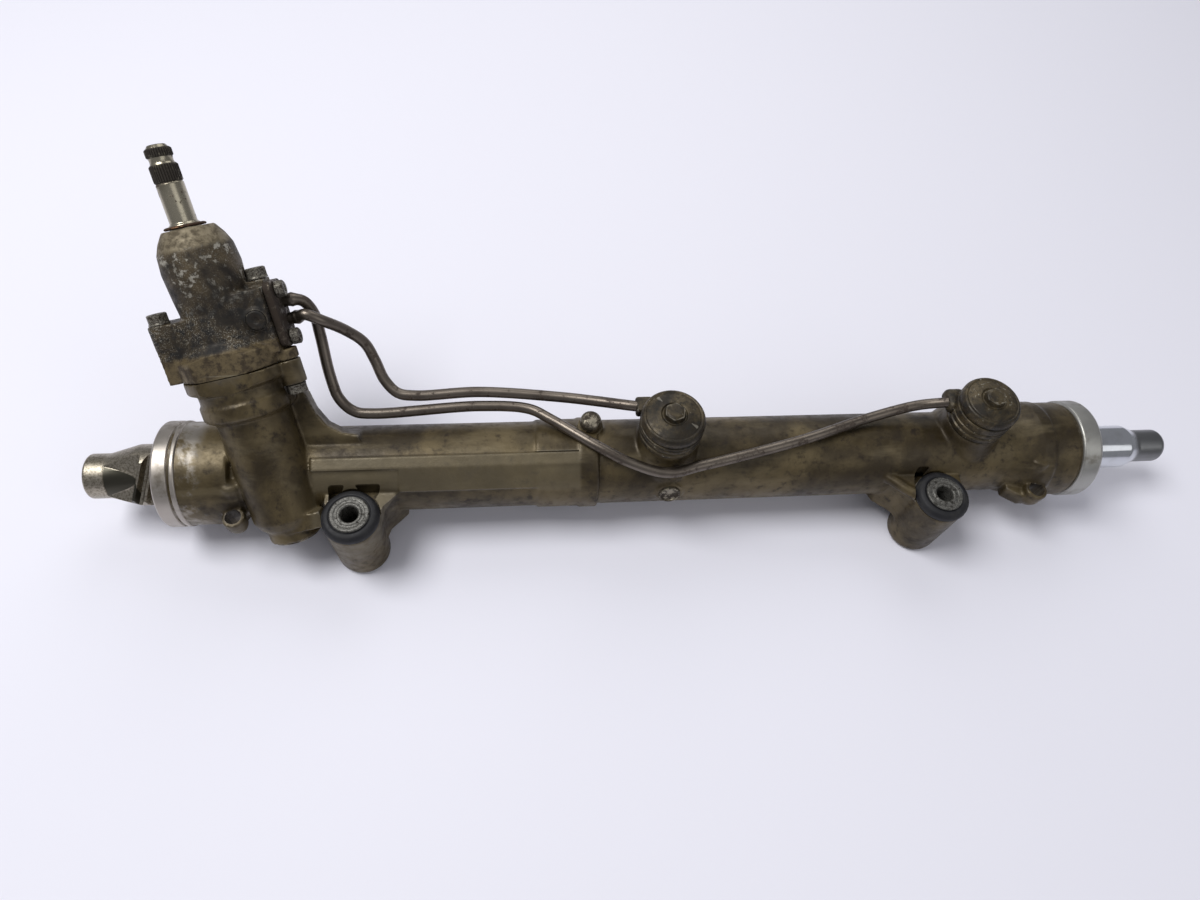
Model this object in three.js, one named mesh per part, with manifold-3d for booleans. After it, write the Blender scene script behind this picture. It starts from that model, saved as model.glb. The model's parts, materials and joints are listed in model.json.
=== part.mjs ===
// Hydraulic power-steering rack and pinion: a cast rack housing with the valve housing bolted to
// its pinion tower, two transfer pipes, two rubber mounting bushings and all the moving parts.
// Millimetres, +Z up. X runs along the rack bar, from the toothed end to the piston-rod end, and
// Y points to the back, where the input shaft leans to.
// While the parts are made the zero is on the bar's axis, just outside the toothed-end rim.
// The last lines move the whole assembly so that the zero is the bottom centre of its box.
// The tower's own frame has its zero on the pinion axis where that comes nearest to the bar:
// its Z runs up the pinion axis, X across it to the right and Y towards the bar.

import * as THREE from "three";
import { mergeVertices } from "three/addons/utils/BufferGeometryUtils.js";
import Module from "manifold-3d";

const wasm = await Module();
wasm.setup();

const DEG = Math.PI / 180;
const GAP = 0.3; // left between pieces that touch
const ROUND = 20; // sides of the large round pieces
const SMALL_ROUND = 12; // sides of the small ones
const BODY_ROUND = 28; // sides of the housing's tube and of its bore

// Housing along the bar
const RIM_X = 2.5; // outer face of the toothed-end rim
const HOUSING_END = 585;
const COLLAR_R = 32;
const COLLAR_END = 44;
const TUBE_R = 26.5;
const BAR_BORE_R = 19.5;
const CYLINDER_R = 22;
const CYLINDER_START = 288;
const TUBE_END = 527;
const FLOOR_Z = -38;

// Pinion tower
const PINION_X = 69.5;
const LEAN = 48 * DEG; // rise of the pinion axis above the horizontal, seen along the bar
const RAKE = 11.8 * DEG; // its tilt towards the toothed end
const JOINT_Z = 70; // where the valve housing meets the rack housing, up the pinion axis

// Gear pair
const TEETH = 7;
const PITCH_R = 8;
const HELIX = 30 * DEG;
const RACK_PITCH_Y = 12; // pitch plane above the bar's axis
const PINION_OFFSET = PITCH_R + RACK_PITCH_Y;
const NORMAL_PITCH = (2 * Math.PI * PITCH_R * Math.cos(HELIX)) / TEETH;
const TOOTH_SLANT = HELIX - RAKE; // of the rack's tooth lines, from square across the bar
const RACK_PITCH = NORMAL_PITCH / Math.cos(TOOTH_SLANT);
const TIP_Y = RACK_PITCH_Y + 1.9;
const ROOT_Y = RACK_PITCH_Y - 2.4;

// Rack bar
const BAR_START = -43;
const BAR_END = 647;
const BAR_R = 18.5;
const ROD_R = 14.3;
const ROD_START = 183;
const NECK_R = 13.5;
const NECK_END = -31;
const TIP_R = 10.8;
const TOOTH_START = PINION_X - 13 * RACK_PITCH; // middle of the space before the first tooth
const TOOTH_COUNT = 29;
const PISTON_X = 417;

// Mounting ears: [x, y] of the upright bolt axes
const EARS = { left: [112.5, -39], right: [474.8, -39.3] };
const EAR_TOP = 10;
const BOLT_BORE_R = 5.2;

// Cylinder ports: [x, y] of their upright axes
const PORTS = { left: [302, 0], right: [499.5, 3.4] };
const PORT_SEAT_Z = 34;
// Each port's fitting and its domed cap: their radius, the seam between them and the dome's edge.
const STACKS = {
  left: { radius: 19.4, seam: 46.5, edge: 53.5 },
  right: { radius: 18.3, seam: 50, edge: 57 },
};

// Where the transfer pipes leave the valve housing, in the tower's frame
const PORT_FACE = 30;
const PIPE_R = 3.25;
const PIPE_PORTS = { short: [7, 90], long: [7, 100] }; // [y, z]

const COLOURS = {
  cast: { color: 0x6a6250, roughness: 0.6, metalness: 0.7 },
  grime: { color: 0x3b362c, roughness: 0.8, metalness: 0.4 },
  steel: { color: 0x8c8a84, roughness: 0.4, metalness: 0.9 },
  chrome: { color: 0xc9ccd0, roughness: 0.12, metalness: 1 },
  rust: { color: 0x6b4a34, roughness: 0.8, metalness: 0.4 },
  rubber: { color: 0x20222a, roughness: 0.8, metalness: 0 },
  plastic: { color: 0xd6cfbb, roughness: 0.5, metalness: 0 },
  brass: { color: 0xb08d4a, roughness: 0.4, metalness: 0.9 },
};

// ---------------------------------------------------------------- solids and frames

function solid(geometry, matrix) {
  const plain = geometry.index ? geometry.toNonIndexed() : geometry.clone();
  plain.deleteAttribute("normal");
  plain.deleteAttribute("uv");
  if (matrix) plain.applyMatrix4(matrix);
  const merged = mergeVertices(plain, 1e-4);
  return new wasm.Manifold(
    new wasm.Mesh({
      numProp: 3,
      vertProperties: merged.attributes.position.array,
      triVerts: new Uint32Array(merged.index.array),
    }),
  );
}

function joined(first, ...others) {
  return others.reduce((whole, piece) => whole.add(piece), first);
}

function cut(first, ...others) {
  return others.reduce((whole, piece) => whole.subtract(piece), first);
}

function frame(x, y, z, rx = 0, ry = 0, rz = 0) {
  const turn = new THREE.Matrix4().makeRotationFromEuler(new THREE.Euler(rx, ry, rz));
  return turn.setPosition(x, y, z);
}

const TOWER = frame(
  PINION_X,
  -PINION_OFFSET * Math.sin(LEAN),
  PINION_OFFSET * Math.cos(LEAN),
  LEAN - Math.PI / 2,
  -RAKE,
);
const YOKE = frame(PINION_X, 0, 0, LEAN - Math.PI); // its Z points from the bar to the yoke plug
const ALONG_X = frame(0, 0, 0, 0, Math.PI / 2); // turns a piece made along Z to lie along X

function inTower(x, y, z) {
  return new THREE.Vector3(x, y, z).applyMatrix4(TOWER);
}

// A solid of revolution about Z. The profile is a list of [radius, z], going up on the outside.
function turned(profile, matrix, sides = ROUND) {
  const points = profile.map(([r, z]) => new THREE.Vector2(r, z));
  const lathe = new THREE.LatheGeometry(points, sides).rotateX(Math.PI / 2);
  return solid(lathe, matrix);
}

function rod(radius, from, to, matrix, sides = ROUND) {
  const profile = [
    [0, from],
    [radius, from],
    [radius, to],
    [0, to],
  ];
  return turned(profile, matrix, sides);
}

function ring(inner, outer, from, to, matrix, sides = ROUND) {
  const profile = [
    [inner, from],
    [outer, from],
    [outer, to],
    [inner, to],
    [inner, from],
  ];
  return turned(profile, matrix, sides);
}

function box(x0, x1, y0, y1, z0, z1, matrix) {
  const geometry = new THREE.BoxGeometry(x1 - x0, y1 - y0, z1 - z0);
  geometry.translate((x0 + x1) / 2, (y0 + y1) / 2, (z0 + z1) / 2);
  return solid(geometry, matrix);
}

// An outline in X and Y, raised from one height to another.
function prism(outline, from, to, matrix) {
  const shape = new THREE.Shape(outline.map(([x, y]) => new THREE.Vector2(x, y)));
  const geometry = new THREE.ExtrudeGeometry(shape, { depth: to - from, bevelEnabled: false });
  geometry.translate(0, 0, from);
  return solid(geometry, matrix);
}

function hexagon(across) {
  const r = across / 2 / Math.cos(Math.PI / 6);
  return [0, 1, 2, 3, 4, 5].map((i) => [r * Math.cos((i * Math.PI) / 3), r * Math.sin((i * Math.PI) / 3)]);
}

// A rod of round section along a curve through the points.
function bent(points, radius, steps, sides) {
  const section = new THREE.Shape();
  for (let i = 0; i < sides; i++) {
    const a = (2 * Math.PI * i) / sides;
    if (i) section.lineTo(radius * Math.cos(a), radius * Math.sin(a));
    else section.moveTo(radius, 0);
  }
  const extrudePath = new THREE.CatmullRomCurve3(points, false, "centripetal");
  return solid(new THREE.ExtrudeGeometry(section, { steps, extrudePath, bevelEnabled: false }));
}

function node(name, look, shape, parent) {
  const result = shape.getMesh();
  const geometry = new THREE.BufferGeometry();
  geometry.setAttribute("position", new THREE.BufferAttribute(result.vertProperties, 3));
  geometry.setIndex(new THREE.BufferAttribute(result.triVerts, 1));
  geometry.computeVertexNormals();
  const mesh = new THREE.Mesh(geometry, new THREE.MeshStandardMaterial({ ...COLOURS[look] }));
  mesh.name = name;
  parent.add(mesh);
  return mesh;
}

// ---------------------------------------------------------------- rack housing

function housingTube() {
  const profile = [
    [0, RIM_X],
    [COLLAR_R - 1.2, RIM_X],
    [COLLAR_R, RIM_X + 1.2],
    [COLLAR_R, 11.4],
    [COLLAR_R - 1.3, 12],
    [COLLAR_R - 1.3, 12.8],
    [COLLAR_R, 13.4],
    [COLLAR_R, 15.4],
    [COLLAR_R - 0.8, 16.4],
    [COLLAR_R - 0.6, COLLAR_END - 0.8],
    [COLLAR_R - 1.4, COLLAR_END],
    [TUBE_R, COLLAR_END + 0.5],
    [TUBE_R, 221],
    [TUBE_R + 0.9, 222.5],
    [TUBE_R + 0.9, 247],
    [TUBE_R + 1.6, 248.5],
    [TUBE_R + 1.6, 259],
    [TUBE_R, 261],
    [TUBE_R, TUBE_END],
    [COLLAR_R - 1.5, 539],
    [COLLAR_R, 545],
    [COLLAR_R, 552],
    [COLLAR_R - 0.8, 553],
    [COLLAR_R - 0.8, 569.6],
    [COLLAR_R - 1.8, 570.2],
    [COLLAR_R - 1.8, 571],
    [COLLAR_R, 572],
    [COLLAR_R, HOUSING_END - 2],
    [COLLAR_R - 2, HOUSING_END],
    [0, HOUSING_END],
  ];
  return turned(profile, ALONG_X, BODY_ROUND);
}

// The ear's web to the tube, between two heights. The left one flares both ways.
const EAR_WEBS = {
  left: [
    [95, -14],
    [96.5, -26],
    [97.5, -39],
    [127.5, -42],
    [131, -32],
    [141, -22],
    [141, -14],
  ],
  right: [
    [441, -14],
    [445, -24],
    [456, -33],
    [461, -42],
    [489.5, -41],
    [491, -30],
    [492, -14],
  ],
};
const EAR_POCKETS = {
  left: [
    [
      [98.5, -20],
      [99, -31],
      [109, -20],
    ],
    [
      [113.5, -20],
      [125, -30],
      [129.5, -20],
    ],
  ],
  right: [
    [
      [462, -20],
      [459, -31],
      [471, -20],
    ],
  ],
};

function ear(side) {
  const [x, y] = EARS[side];
  const post = turned(
    [
      [0, FLOOR_Z],
      [15, FLOOR_Z],
      [16, FLOOR_Z + 2],
      [16.4, EAR_TOP],
      [0, EAR_TOP],
    ],
    frame(x, y, 0),
  );
  const web = prism(EAR_WEBS[side], -22, EAR_TOP + 2);
  const pockets = EAR_POCKETS[side].map((outline) => prism(outline, EAR_TOP - 4, EAR_TOP + 10));
  return cut(joined(post, web), ...pockets);
}

function housingDetails() {
  const rib = frame(0, 0, 0, 113 * DEG);
  const panel = frame(0, 0, 0, 136.7 * DEG);
  return [
    box(90, 247, 0, TUBE_R + 1.2, -3.8, 3.8, rib),
    box(140, 221, 0, TUBE_R + 0.3, -7, 7, panel),
  ];
}

// The small foot under the back of the right collar, which keeps the rack from rolling back.
function rearFoot() {
  return rod(8, FLOOR_Z, -21, frame(549, 18, 0), SMALL_ROUND);
}

const LUGS = [
  { x: 44.7, y: -33.9, radius: 6.6, hole: 4.6 },
  { x: 543.4, y: -34.1, radius: 7, hole: 5 },
];
const LUG_TOP = 8;
const LUG_WEDGE = [
  [526.5, -30.5],
  [536, -37],
  [544, -37],
  [544, -26],
  [527, -26],
];

// A small lug for an upright bolt, and the ridge that carries it up the collar.
function lug({ x, y, radius }) {
  const boss = turned(
    [
      [0, -8],
      [radius - 3, -8],
      [radius - 0.4, -2],
      [radius, LUG_TOP],
      [0, LUG_TOP],
    ],
    frame(x, y, 0),
    SMALL_ROUND,
  );
  return joined(boss, rod(radius, -2, 22, frame(x, -24.6, 0, -17 * DEG), SMALL_ROUND));
}

function lugHole({ x, y, hole }) {
  return rod(hole, -20, LUG_TOP + 0.5, frame(x, y, 0), SMALL_ROUND);
}

function portBoss([x, y]) {
  const profile = [
    [0, 5],
    [24, 5],
    [23, 17],
    [18.5, 27],
    [17.6, PORT_SEAT_Z],
    [0, PORT_SEAT_Z],
  ];
  return turned(profile, frame(x, y, 0));
}

function towerBase() {
  const profile = [
    [0, -34],
    [15.2, -34],
    [15.2, -27],
    [18, -24],
    [20.5, -19],
    [20.5, 44],
    [25, 46],
    [25.4, 54],
    [24.2, 55],
    [24.2, 61],
    [28.5, 63],
    [28.5, JOINT_Z],
    [0, JOINT_Z],
  ];
  const front = box(-40, 40, -40, FLANGE_FRONT, 58, JOINT_Z + 1, TOWER);
  const gusset = prism(
    [
      [8, -5],
      [8, -52],
      [29, -52],
      [30.5, -44],
      [32, -35],
      [36, -26],
      [43, -19.5],
      [52, -16],
      [52, -5],
    ],
    4,
    15,
    new THREE.Matrix4().multiplyMatrices(TOWER, frame(0, 0, 0, -Math.PI / 2)),
  );
  const foot = box(-1, 22, -16, -6, -28, -18, TOWER);
  return joined(cut(turned(profile, TOWER), front), gusset, foot, ...flangeEars(56, JOINT_Z));
}

const FLANGE_FRONT = -24.5; // the flange's flat front
const FLANGE_BOLTS = [
  [29.5, -4],
  [-22, 20],
];

function flangeEars(from, to) {
  return FLANGE_BOLTS.map(([x, y]) => rod(6.8, from, to, towerAt(x, y), SMALL_ROUND));
}

function towerAt(x, y) {
  return new THREE.Matrix4().multiplyMatrices(TOWER, frame(x, y, 0));
}

function yokeBoss() {
  return rod(17, 0, 37.9, YOKE);
}

function pinionBore() {
  return turned(
    [
      [0, -40],
      [13.3, -40],
      [13.3, -29.2],
      [12.3, -29.2],
      [12.3, 32],
      [16.8, 32],
      [16.8, JOINT_Z + 1],
      [0, JOINT_Z + 1],
    ],
    TOWER,
  );
}

function barBore() {
  return turned(
    [
      [0, -1],
      [24, -1],
      [24, 10],
      [BAR_BORE_R, 14],
      [BAR_BORE_R, CYLINDER_START],
      [CYLINDER_R, CYLINDER_START],
      [CYLINDER_R, 566],
      [CYLINDER_R + 1.6, 566],
      [CYLINDER_R + 1.6, 569.5],
      [CYLINDER_R, 569.5],
      [CYLINDER_R, HOUSING_END + 1],
      [0, HOUSING_END + 1],
    ],
    ALONG_X,
    BODY_ROUND,
  );
}

const TUBE_PLUG = frame(255, 10.5, 0);
const STAKED_PLUG = frame(303.3, 0, 0, 78.5 * DEG); // its Z points out of the tube's front

function rackHousing() {
  const body = joined(
    housingTube(),
    towerBase(),
    yokeBoss(),
    ear("left"),
    ear("right"),
    portBoss(PORTS.left),
    portBoss(PORTS.right),
    ...LUGS.map(lug),
    prism(LUG_WEDGE, -8, 3),
    rearFoot(),
    rod(8, 0, 28, TUBE_PLUG, SMALL_ROUND),
    rod(8.5, 0, 28, STAKED_PLUG, SMALL_ROUND),
    ...housingDetails(),
  );
  const bores = [
    barBore(),
    pinionBore(),
    rod(14, 2, 28.5, YOKE),
    rod(15.2, 28.5, 40, YOKE),
    ...LUGS.map(lugHole),
    rod(4.3, 24.5, 30, TUBE_PLUG, SMALL_ROUND),
    rod(6.8, 26.2, 30, STAKED_PLUG, SMALL_ROUND),
  ];
  for (const [x, y] of Object.values(EARS)) {
    bores.push(rod(13, FLOOR_Z - 1, EAR_TOP + 1, frame(x, y, 0)));
    bores.push(rod(17.3, EAR_TOP, EAR_TOP + 12, frame(x, y, 0)));
  }
  for (const [x, y] of Object.values(PORTS)) bores.push(rod(3, 15, 40, frame(x, y, 0), 12));
  for (const [x, y] of FLANGE_BOLTS) {
    bores.push(rod(3.4, 55, 72, towerAt(x, y), SMALL_ROUND));
    bores.push(rod(6.6, 43, 56, towerAt(x, y), SMALL_ROUND));
  }
  return cut(body, ...bores);
}

// ---------------------------------------------------------------- valve housing

const SIDE_BOLT = [-27, -9.4]; // [x, y] of the bolt on the left block
const TOP_BOLT = [25.5, 4.4];
const EAR_Z = 76; // top of the valve housing's flange ears
const BLOCK_FACE = -32.5; // the left block's outer face
const BLOCK_TOP = 102.5;
const PORT_BLOCK_TOP = 111;
const PAD_TOP = 114.5; // the pad under the top bolt
const CAP_TOP = 147.5;
const VALVE_BORE_R = 16.6;
const DISC_PLUG = frame(23.6, -14, 95, Math.PI / 2);
const LINE_PORTS = [78, 94]; // heights of the feed and return ports in the left block
const PLATE_BOLT_Y = -0.5;
const PLATE_BOLTS = [81, 107.5]; // heights of the pipe plate's bolts

// A hole across the tower, from X = from to X = to, at the height z.
function crossHole(radius, from, to, y, z) {
  return rod(radius, from, to, frame(0, y, z, 0, Math.PI / 2), SMALL_ROUND);
}

function valveHousing() {
  const base = JOINT_Z + GAP;
  const flange = turned([
    [0, base],
    [28, base],
    [28, 81],
    [25, 82.5],
    [20, 88],
    [18.8, 104],
    [0, 104],
  ]);
  const upper = turned(
    [
      [0, 86],
      [18.8, 86],
      [18.8, 104],
      [19.6, 113],
      [20.4, 127],
      [19.4, 136.5],
      [17, 142],
      [13.2, CAP_TOP],
      [0, CAP_TOP],
    ],
    frame(1, 0, 0),
  );
  const front = box(-40, 40, -40, FLANGE_FRONT, base - 1, EAR_Z + 10);
  const ears = FLANGE_BOLTS.map(([x, y]) => rod(6.8, base, EAR_Z, frame(x, y, 0), SMALL_ROUND));
  const block = prism(
    [
      [BLOCK_FACE, -13],
      [-5, -15.5],
      [-5, 12],
      [BLOCK_FACE, 12],
    ],
    base,
    BLOCK_TOP,
  );
  const portBlock = prism(
    [
      [5, -15],
      [PORT_FACE, -13],
      [PORT_FACE, 14],
      [5, 14],
    ],
    76,
    PORT_BLOCK_TOP,
  );
  const pad = box(18.5, PORT_FACE, -2.6, 11.4, PORT_BLOCK_TOP - 2, PAD_TOP);
  const body = joined(cut(flange, front), upper, block, portBlock, pad, ...ears);
  const bore = turned([
    [0, 60],
    [VALVE_BORE_R, 60],
    [VALVE_BORE_R, 137],
    [12, 137],
    [12, 146.4],
    [9.5, 146.4],
    [9.5, 152],
    [0, 152],
  ]);
  const cuts = [
    bore,
    rod(2.8, BLOCK_TOP - 18, BLOCK_TOP + 2, frame(...SIDE_BOLT, 0), SMALL_ROUND),
    rod(2.3, PAD_TOP - 8, PAD_TOP + 2, frame(...TOP_BOLT, 0), SMALL_ROUND),
    rod(6.6, PAD_TOP, PAD_TOP + 8, frame(...TOP_BOLT, 0), SMALL_ROUND),
    rod(5.5, -4, 1.5, DISC_PLUG, SMALL_ROUND),
    ...FLANGE_BOLTS.map(([x, y]) => rod(3.4, 60, EAR_Z + 1, frame(x, y, 0), SMALL_ROUND)),
    ...Object.values(PIPE_PORTS).map(([y, z]) => crossHole(PIPE_R + 0.4, 15, 40, y, z)),
    ...PLATE_BOLTS.map((z) => crossHole(2.7, 18, 40, PLATE_BOLT_Y, z)),
    ...LINE_PORTS.map((z) => crossHole(6.5, -40, -22, 0, z)),
    ...LINE_PORTS.map((z) => crossHole(3, -24, -14, 0, z)),
  ];
  return cut(body, ...cuts);
}

function pipePlate() {
  const [from, to] = [PORT_FACE + GAP, PORT_FACE + 4.6];
  const plate = box(from, to, -10, 13, 76.5, 113);
  const holes = [
    ...Object.values(PIPE_PORTS).map(([y, z]) => crossHole(PIPE_R + 0.4, 20, 40, y, z)),
    ...PLATE_BOLTS.map((z) => crossHole(2.7, 20, 40, PLATE_BOLT_Y, z)),
  ];
  return cut(plate, ...holes);
}

// A bolt with its head standing on z = 0 and its shank below.
function bolt(headR, headHeight, shankR, shank) {
  const head = prism(hexagon(headR * 1.75), GAP, headHeight);
  return joined(head, rod(shankR, -shank, GAP + 1, undefined, SMALL_ROUND));
}

// ---------------------------------------------------------------- pinion, valve and input shaft

function pinionTeeth(from, to) {
  // [radius, half angle] of a tooth at its root and its tip.
  const flanks = [
    [5.7, 0.27],
    [9.5, 0.075],
  ];
  const outline = [];
  for (let i = 0; i < TEETH; i++) {
    const middle = (2 * Math.PI * i) / TEETH + Math.PI / 2;
    for (const [r, half] of flanks)
      outline.push([r * Math.cos(middle - half), r * Math.sin(middle - half)]);
    for (const [r, half] of [...flanks].reverse())
      outline.push([r * Math.cos(middle + half), r * Math.sin(middle + half)]);
  }
  const shape = new THREE.Shape(outline.map(([x, y]) => new THREE.Vector2(x, y)));
  const geometry = new THREE.ExtrudeGeometry(shape, { depth: to - from, steps: 10, bevelEnabled: false });
  geometry.translate(0, 0, from);
  const place = geometry.attributes.position;
  const point = new THREE.Vector3();
  const axis = new THREE.Vector3(0, 0, 1);
  for (let i = 0; i < place.count; i++) {
    point.fromBufferAttribute(place, i);
    point.applyAxisAngle(axis, (-point.z * Math.tan(HELIX)) / PITCH_R);
    place.setXYZ(i, point.x, point.y, point.z);
  }
  return solid(geometry);
}

function pinion() {
  const shaft = turned([
    [0, -29],
    [5.2, -29],
    [6, -28],
    [6, -18],
    [4.6, -15],
    [4.6, 22],
    [9, 28],
    [9, 32],
    [10, 32],
    [10, 46],
    [9, 46.5],
    [9, 64],
    [14, 66],
    [14, 75],
    [0, 75],
  ]);
  const socket = turned([
    [0, 20],
    [3.2, 20],
    [3.2, 66],
    [8.2, 66],
    [8.2, 76],
    [0, 76],
  ]);
  return cut(joined(shaft, pinionTeeth(-16, 26)), socket);
}

const SLEEVE_GROOVES = [84, 96, 108, 120]; // heights of the rotary valve's seal rings

function valveSleeve() {
  const body = ring(10.3, 16, 75 + GAP, 124);
  const grooves = SLEEVE_GROOVES.map((z) => ring(14.5, 17, z - 1.4, z + 1.4, undefined, SMALL_ROUND));
  return cut(body, ...grooves);
}

function splines(radius, count, from, to) {
  const outline = [];
  for (let i = 0; i < count * 2; i++) {
    const r = i % 2 ? radius : radius - 0.6;
    const a = (Math.PI * i) / count;
    outline.push([r * Math.cos(a), r * Math.sin(a)]);
  }
  return prism(outline, from, to);
}

const INPUT_END = 189.5; // tip of the input shaft

function inputShaft() {
  const shaft = turned([
    [0, 67],
    [7.8, 67],
    [7.8, 76.5],
    [10, 76.5],
    [10, 123],
    [8, 125],
    [8, 149.6],
    [6.9, 150.6],
    [6.9, 170.5],
    [6.4, 171.5],
    [6.4, 179.5],
    [5.8, 180.7],
    [5.8, 182.4],
    [6, 183.5],
    [6, 187],
    [4.2, INPUT_END],
    [0, INPUT_END],
  ]);
  const bore = rod(3.2, 60, 176, undefined, SMALL_ROUND);
  return cut(joined(shaft, splines(7.1, 16, 170.8, 179.6), splines(6.6, 16, 183.3, 187)), bore);
}

// ---------------------------------------------------------------- rack bar

function rackBar() {
  const profile = [
    [0, BAR_START],
    [NECK_R - 0.9, BAR_START],
    [NECK_R, BAR_START + 1],
    [NECK_R, NECK_END],
    [BAR_R, -14],
    [BAR_R, ROD_START - 3],
    [ROD_R, ROD_START],
    [ROD_R, 619],
    [TIP_R, 627],
    [TIP_R, BAR_END - 2.5],
    [TIP_R - 2.2, BAR_END],
    [0, BAR_END],
  ];
  const bar = turned(profile, ALONG_X);
  const bullet = turned(
    [
      [0, NECK_END - 1],
      [NECK_R - 0.2, NECK_END - 1],
      [NECK_R - 0.2, NECK_END],
      [ROOT_Y, -13],
      [0, -13],
    ],
    ALONG_X,
  );
  const toothFace = frame(0, 0, 0, LEAN - Math.PI / 2); // its -Y is the tooth face's outward side
  const last = TOOTH_START + (TOOTH_COUNT + 0.5) * RACK_PITCH;
  const tipFlat = box(TOOTH_START - 5, last, -30, -TIP_Y, -20, 20, toothFace);
  const rootFlat = box(NECK_END, TOOTH_START - 3, -30, -ROOT_Y, -20, 20, toothFace);
  const firstTooth = frame(TOOTH_START, 0, 0, 0, TOOTH_SLANT).premultiply(toothFace);
  const slantedFlat = box(-9, 0, -30, -ROOT_Y, -20, 20, firstTooth);
  const endBores = [
    rod(6, BAR_START - 1, BAR_START + 24, ALONG_X, SMALL_ROUND),
    rod(6, BAR_END - 24, BAR_END + 1, ALONG_X, SMALL_ROUND),
  ];
  const toothed = cut(bar, tipFlat, rootFlat, slantedFlat, ...toothSpaces(toothFace));
  return cut(joined(toothed, bullet), ...endBores);
}

// The spaces between the rack's teeth, each a slanted groove with sloping sides.
function toothSpaces(toothFace) {
  const depth = TIP_Y + 1 - ROOT_Y;
  const slope = Math.tan(20 * DEG);
  const middle = NORMAL_PITCH / 4 + 0.25; // half the space's width at the pitch plane
  const atRoot = middle - (RACK_PITCH_Y - ROOT_Y) * slope;
  const outline = [
    [-atRoot, -ROOT_Y],
    [-atRoot - depth * slope, -ROOT_Y - depth],
    [atRoot + depth * slope, -ROOT_Y - depth],
    [atRoot, -ROOT_Y],
  ];
  const spaces = [];
  for (let i = 0; i < TOOTH_COUNT; i++) {
    const place = frame(TOOTH_START + i * RACK_PITCH, 0, 0, 0, TOOTH_SLANT);
    place.premultiply(toothFace);
    spaces.push(prism(outline, -18, 18, place));
  }
  return spaces;
}

// ---------------------------------------------------------------- yoke, fittings and pipes

function yoke() {
  const body = rod(13.6, 6, 27, undefined);
  const saddle = rod(BAR_R + GAP, -30, 30, ALONG_X);
  return cut(body, saddle, rod(8, 21.5, 30, undefined, SMALL_ROUND));
}

function yokeSpring() {
  const points = [];
  const turns = 3;
  for (let i = 0; i <= turns * 10; i++) {
    const a = (2 * Math.PI * i) / 10;
    points.push(new THREE.Vector3(6 * Math.cos(a), 6 * Math.sin(a), 22.9 + i * 0.17));
  }
  return bent(points, 0.8, turns * 10, 5);
}

function yokePlug() {
  return cut(rod(14.9, 29.2, 36.6), prism(hexagon(17), 31.5, 40));
}

function portFitting([x, y], { radius, seam }, arm) {
  const body = turned(
    [
      [0, PORT_SEAT_Z + GAP],
      [radius - 1.3, PORT_SEAT_Z + GAP],
      [radius, 35.5],
      [radius, 39],
      [radius - 1.1, 39.6],
      [radius - 1.1, 40.6],
      [radius, 41.2],
      [radius, seam],
      [0, seam],
    ],
    frame(x, y, 0),
  );
  return cut(joined(body, arm), rod(3, 30, 44, frame(x, y, 0), 12));
}

function portCap([x, y], { radius, seam, edge }) {
  const dome = turned(
    [
      [0, seam + GAP],
      [radius - 1.2, seam + GAP],
      [radius - 0.3, seam + 1.1],
      [radius, seam + 3.5],
      [radius - 1.6, edge],
      [11, edge + 2],
      [0, edge + 2.3],
    ],
    frame(x, y, 0),
  );
  return joined(dome, prism(hexagon(12), edge + 1, edge + 5, frame(x, y, 0)));
}

const PIPES = {
  short: [
    [94.5, 53.4, 83.6],
    [102, 52.3, 80],
    [113, 54.6, 67.6],
    [122, 53.9, 56],
    [126.8, 48, 47],
    [132, 38.2, 40],
    [139.6, 31.4, 36],
    [150, 29.9, 35],
    [188, 31.6, 35],
    [237, 26.7, 35],
    [261, 21.2, 37.5],
    [276, 15.5, 42],
    [282, 13.8, 43],
  ],
  long: [
    [92.5, 62.3, 84.6],
    [97, 59.6, 77],
    [98.8, 52.6, 66],
    [101.8, 37, 48],
    [106, 27, 37.5],
    [114, 21.5, 32],
    [125, 20.3, 31],
    [188, 24, 31],
    [218, 21.1, 31],
    [231, 13.2, 31],
    [259, -7, 31],
    [277, -16.6, 28.2],
    [299, -23.4, 26.6],
    [321, -19.6, 27.2],
    [385, -6.2, 31.5],
    [432, 8.6, 31.6],
    [463, 13.9, 36.5],
    [478, 12, 42.5],
  ],
};

function pipe(name, steps) {
  const [y, z] = PIPE_PORTS[name];
  const start = [26, 34, 39].map((x) => inTower(x, y, z));
  const route = PIPES[name].map((p) => new THREE.Vector3(...p));
  return bent([...start, ...route], PIPE_R, steps, 8);
}

// ---------------------------------------------------------------- the assembly

const assembly = new THREE.Group();
const fixed = new THREE.Group();
const towerGroup = new THREE.Group();
const yokeGroup = new THREE.Group();
const barGroup = new THREE.Group();
const pinionGroup = new THREE.Group();
const inputGroup = new THREE.Group();

towerGroup.applyMatrix4(TOWER);
yokeGroup.applyMatrix4(YOKE);
assembly.add(fixed, barGroup);
fixed.add(towerGroup, yokeGroup);
towerGroup.add(pinionGroup);
pinionGroup.add(inputGroup);

node("rack_housing", "cast", rackHousing(), fixed);
node("valve_housing", "grime", valveHousing(), towerGroup);

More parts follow.
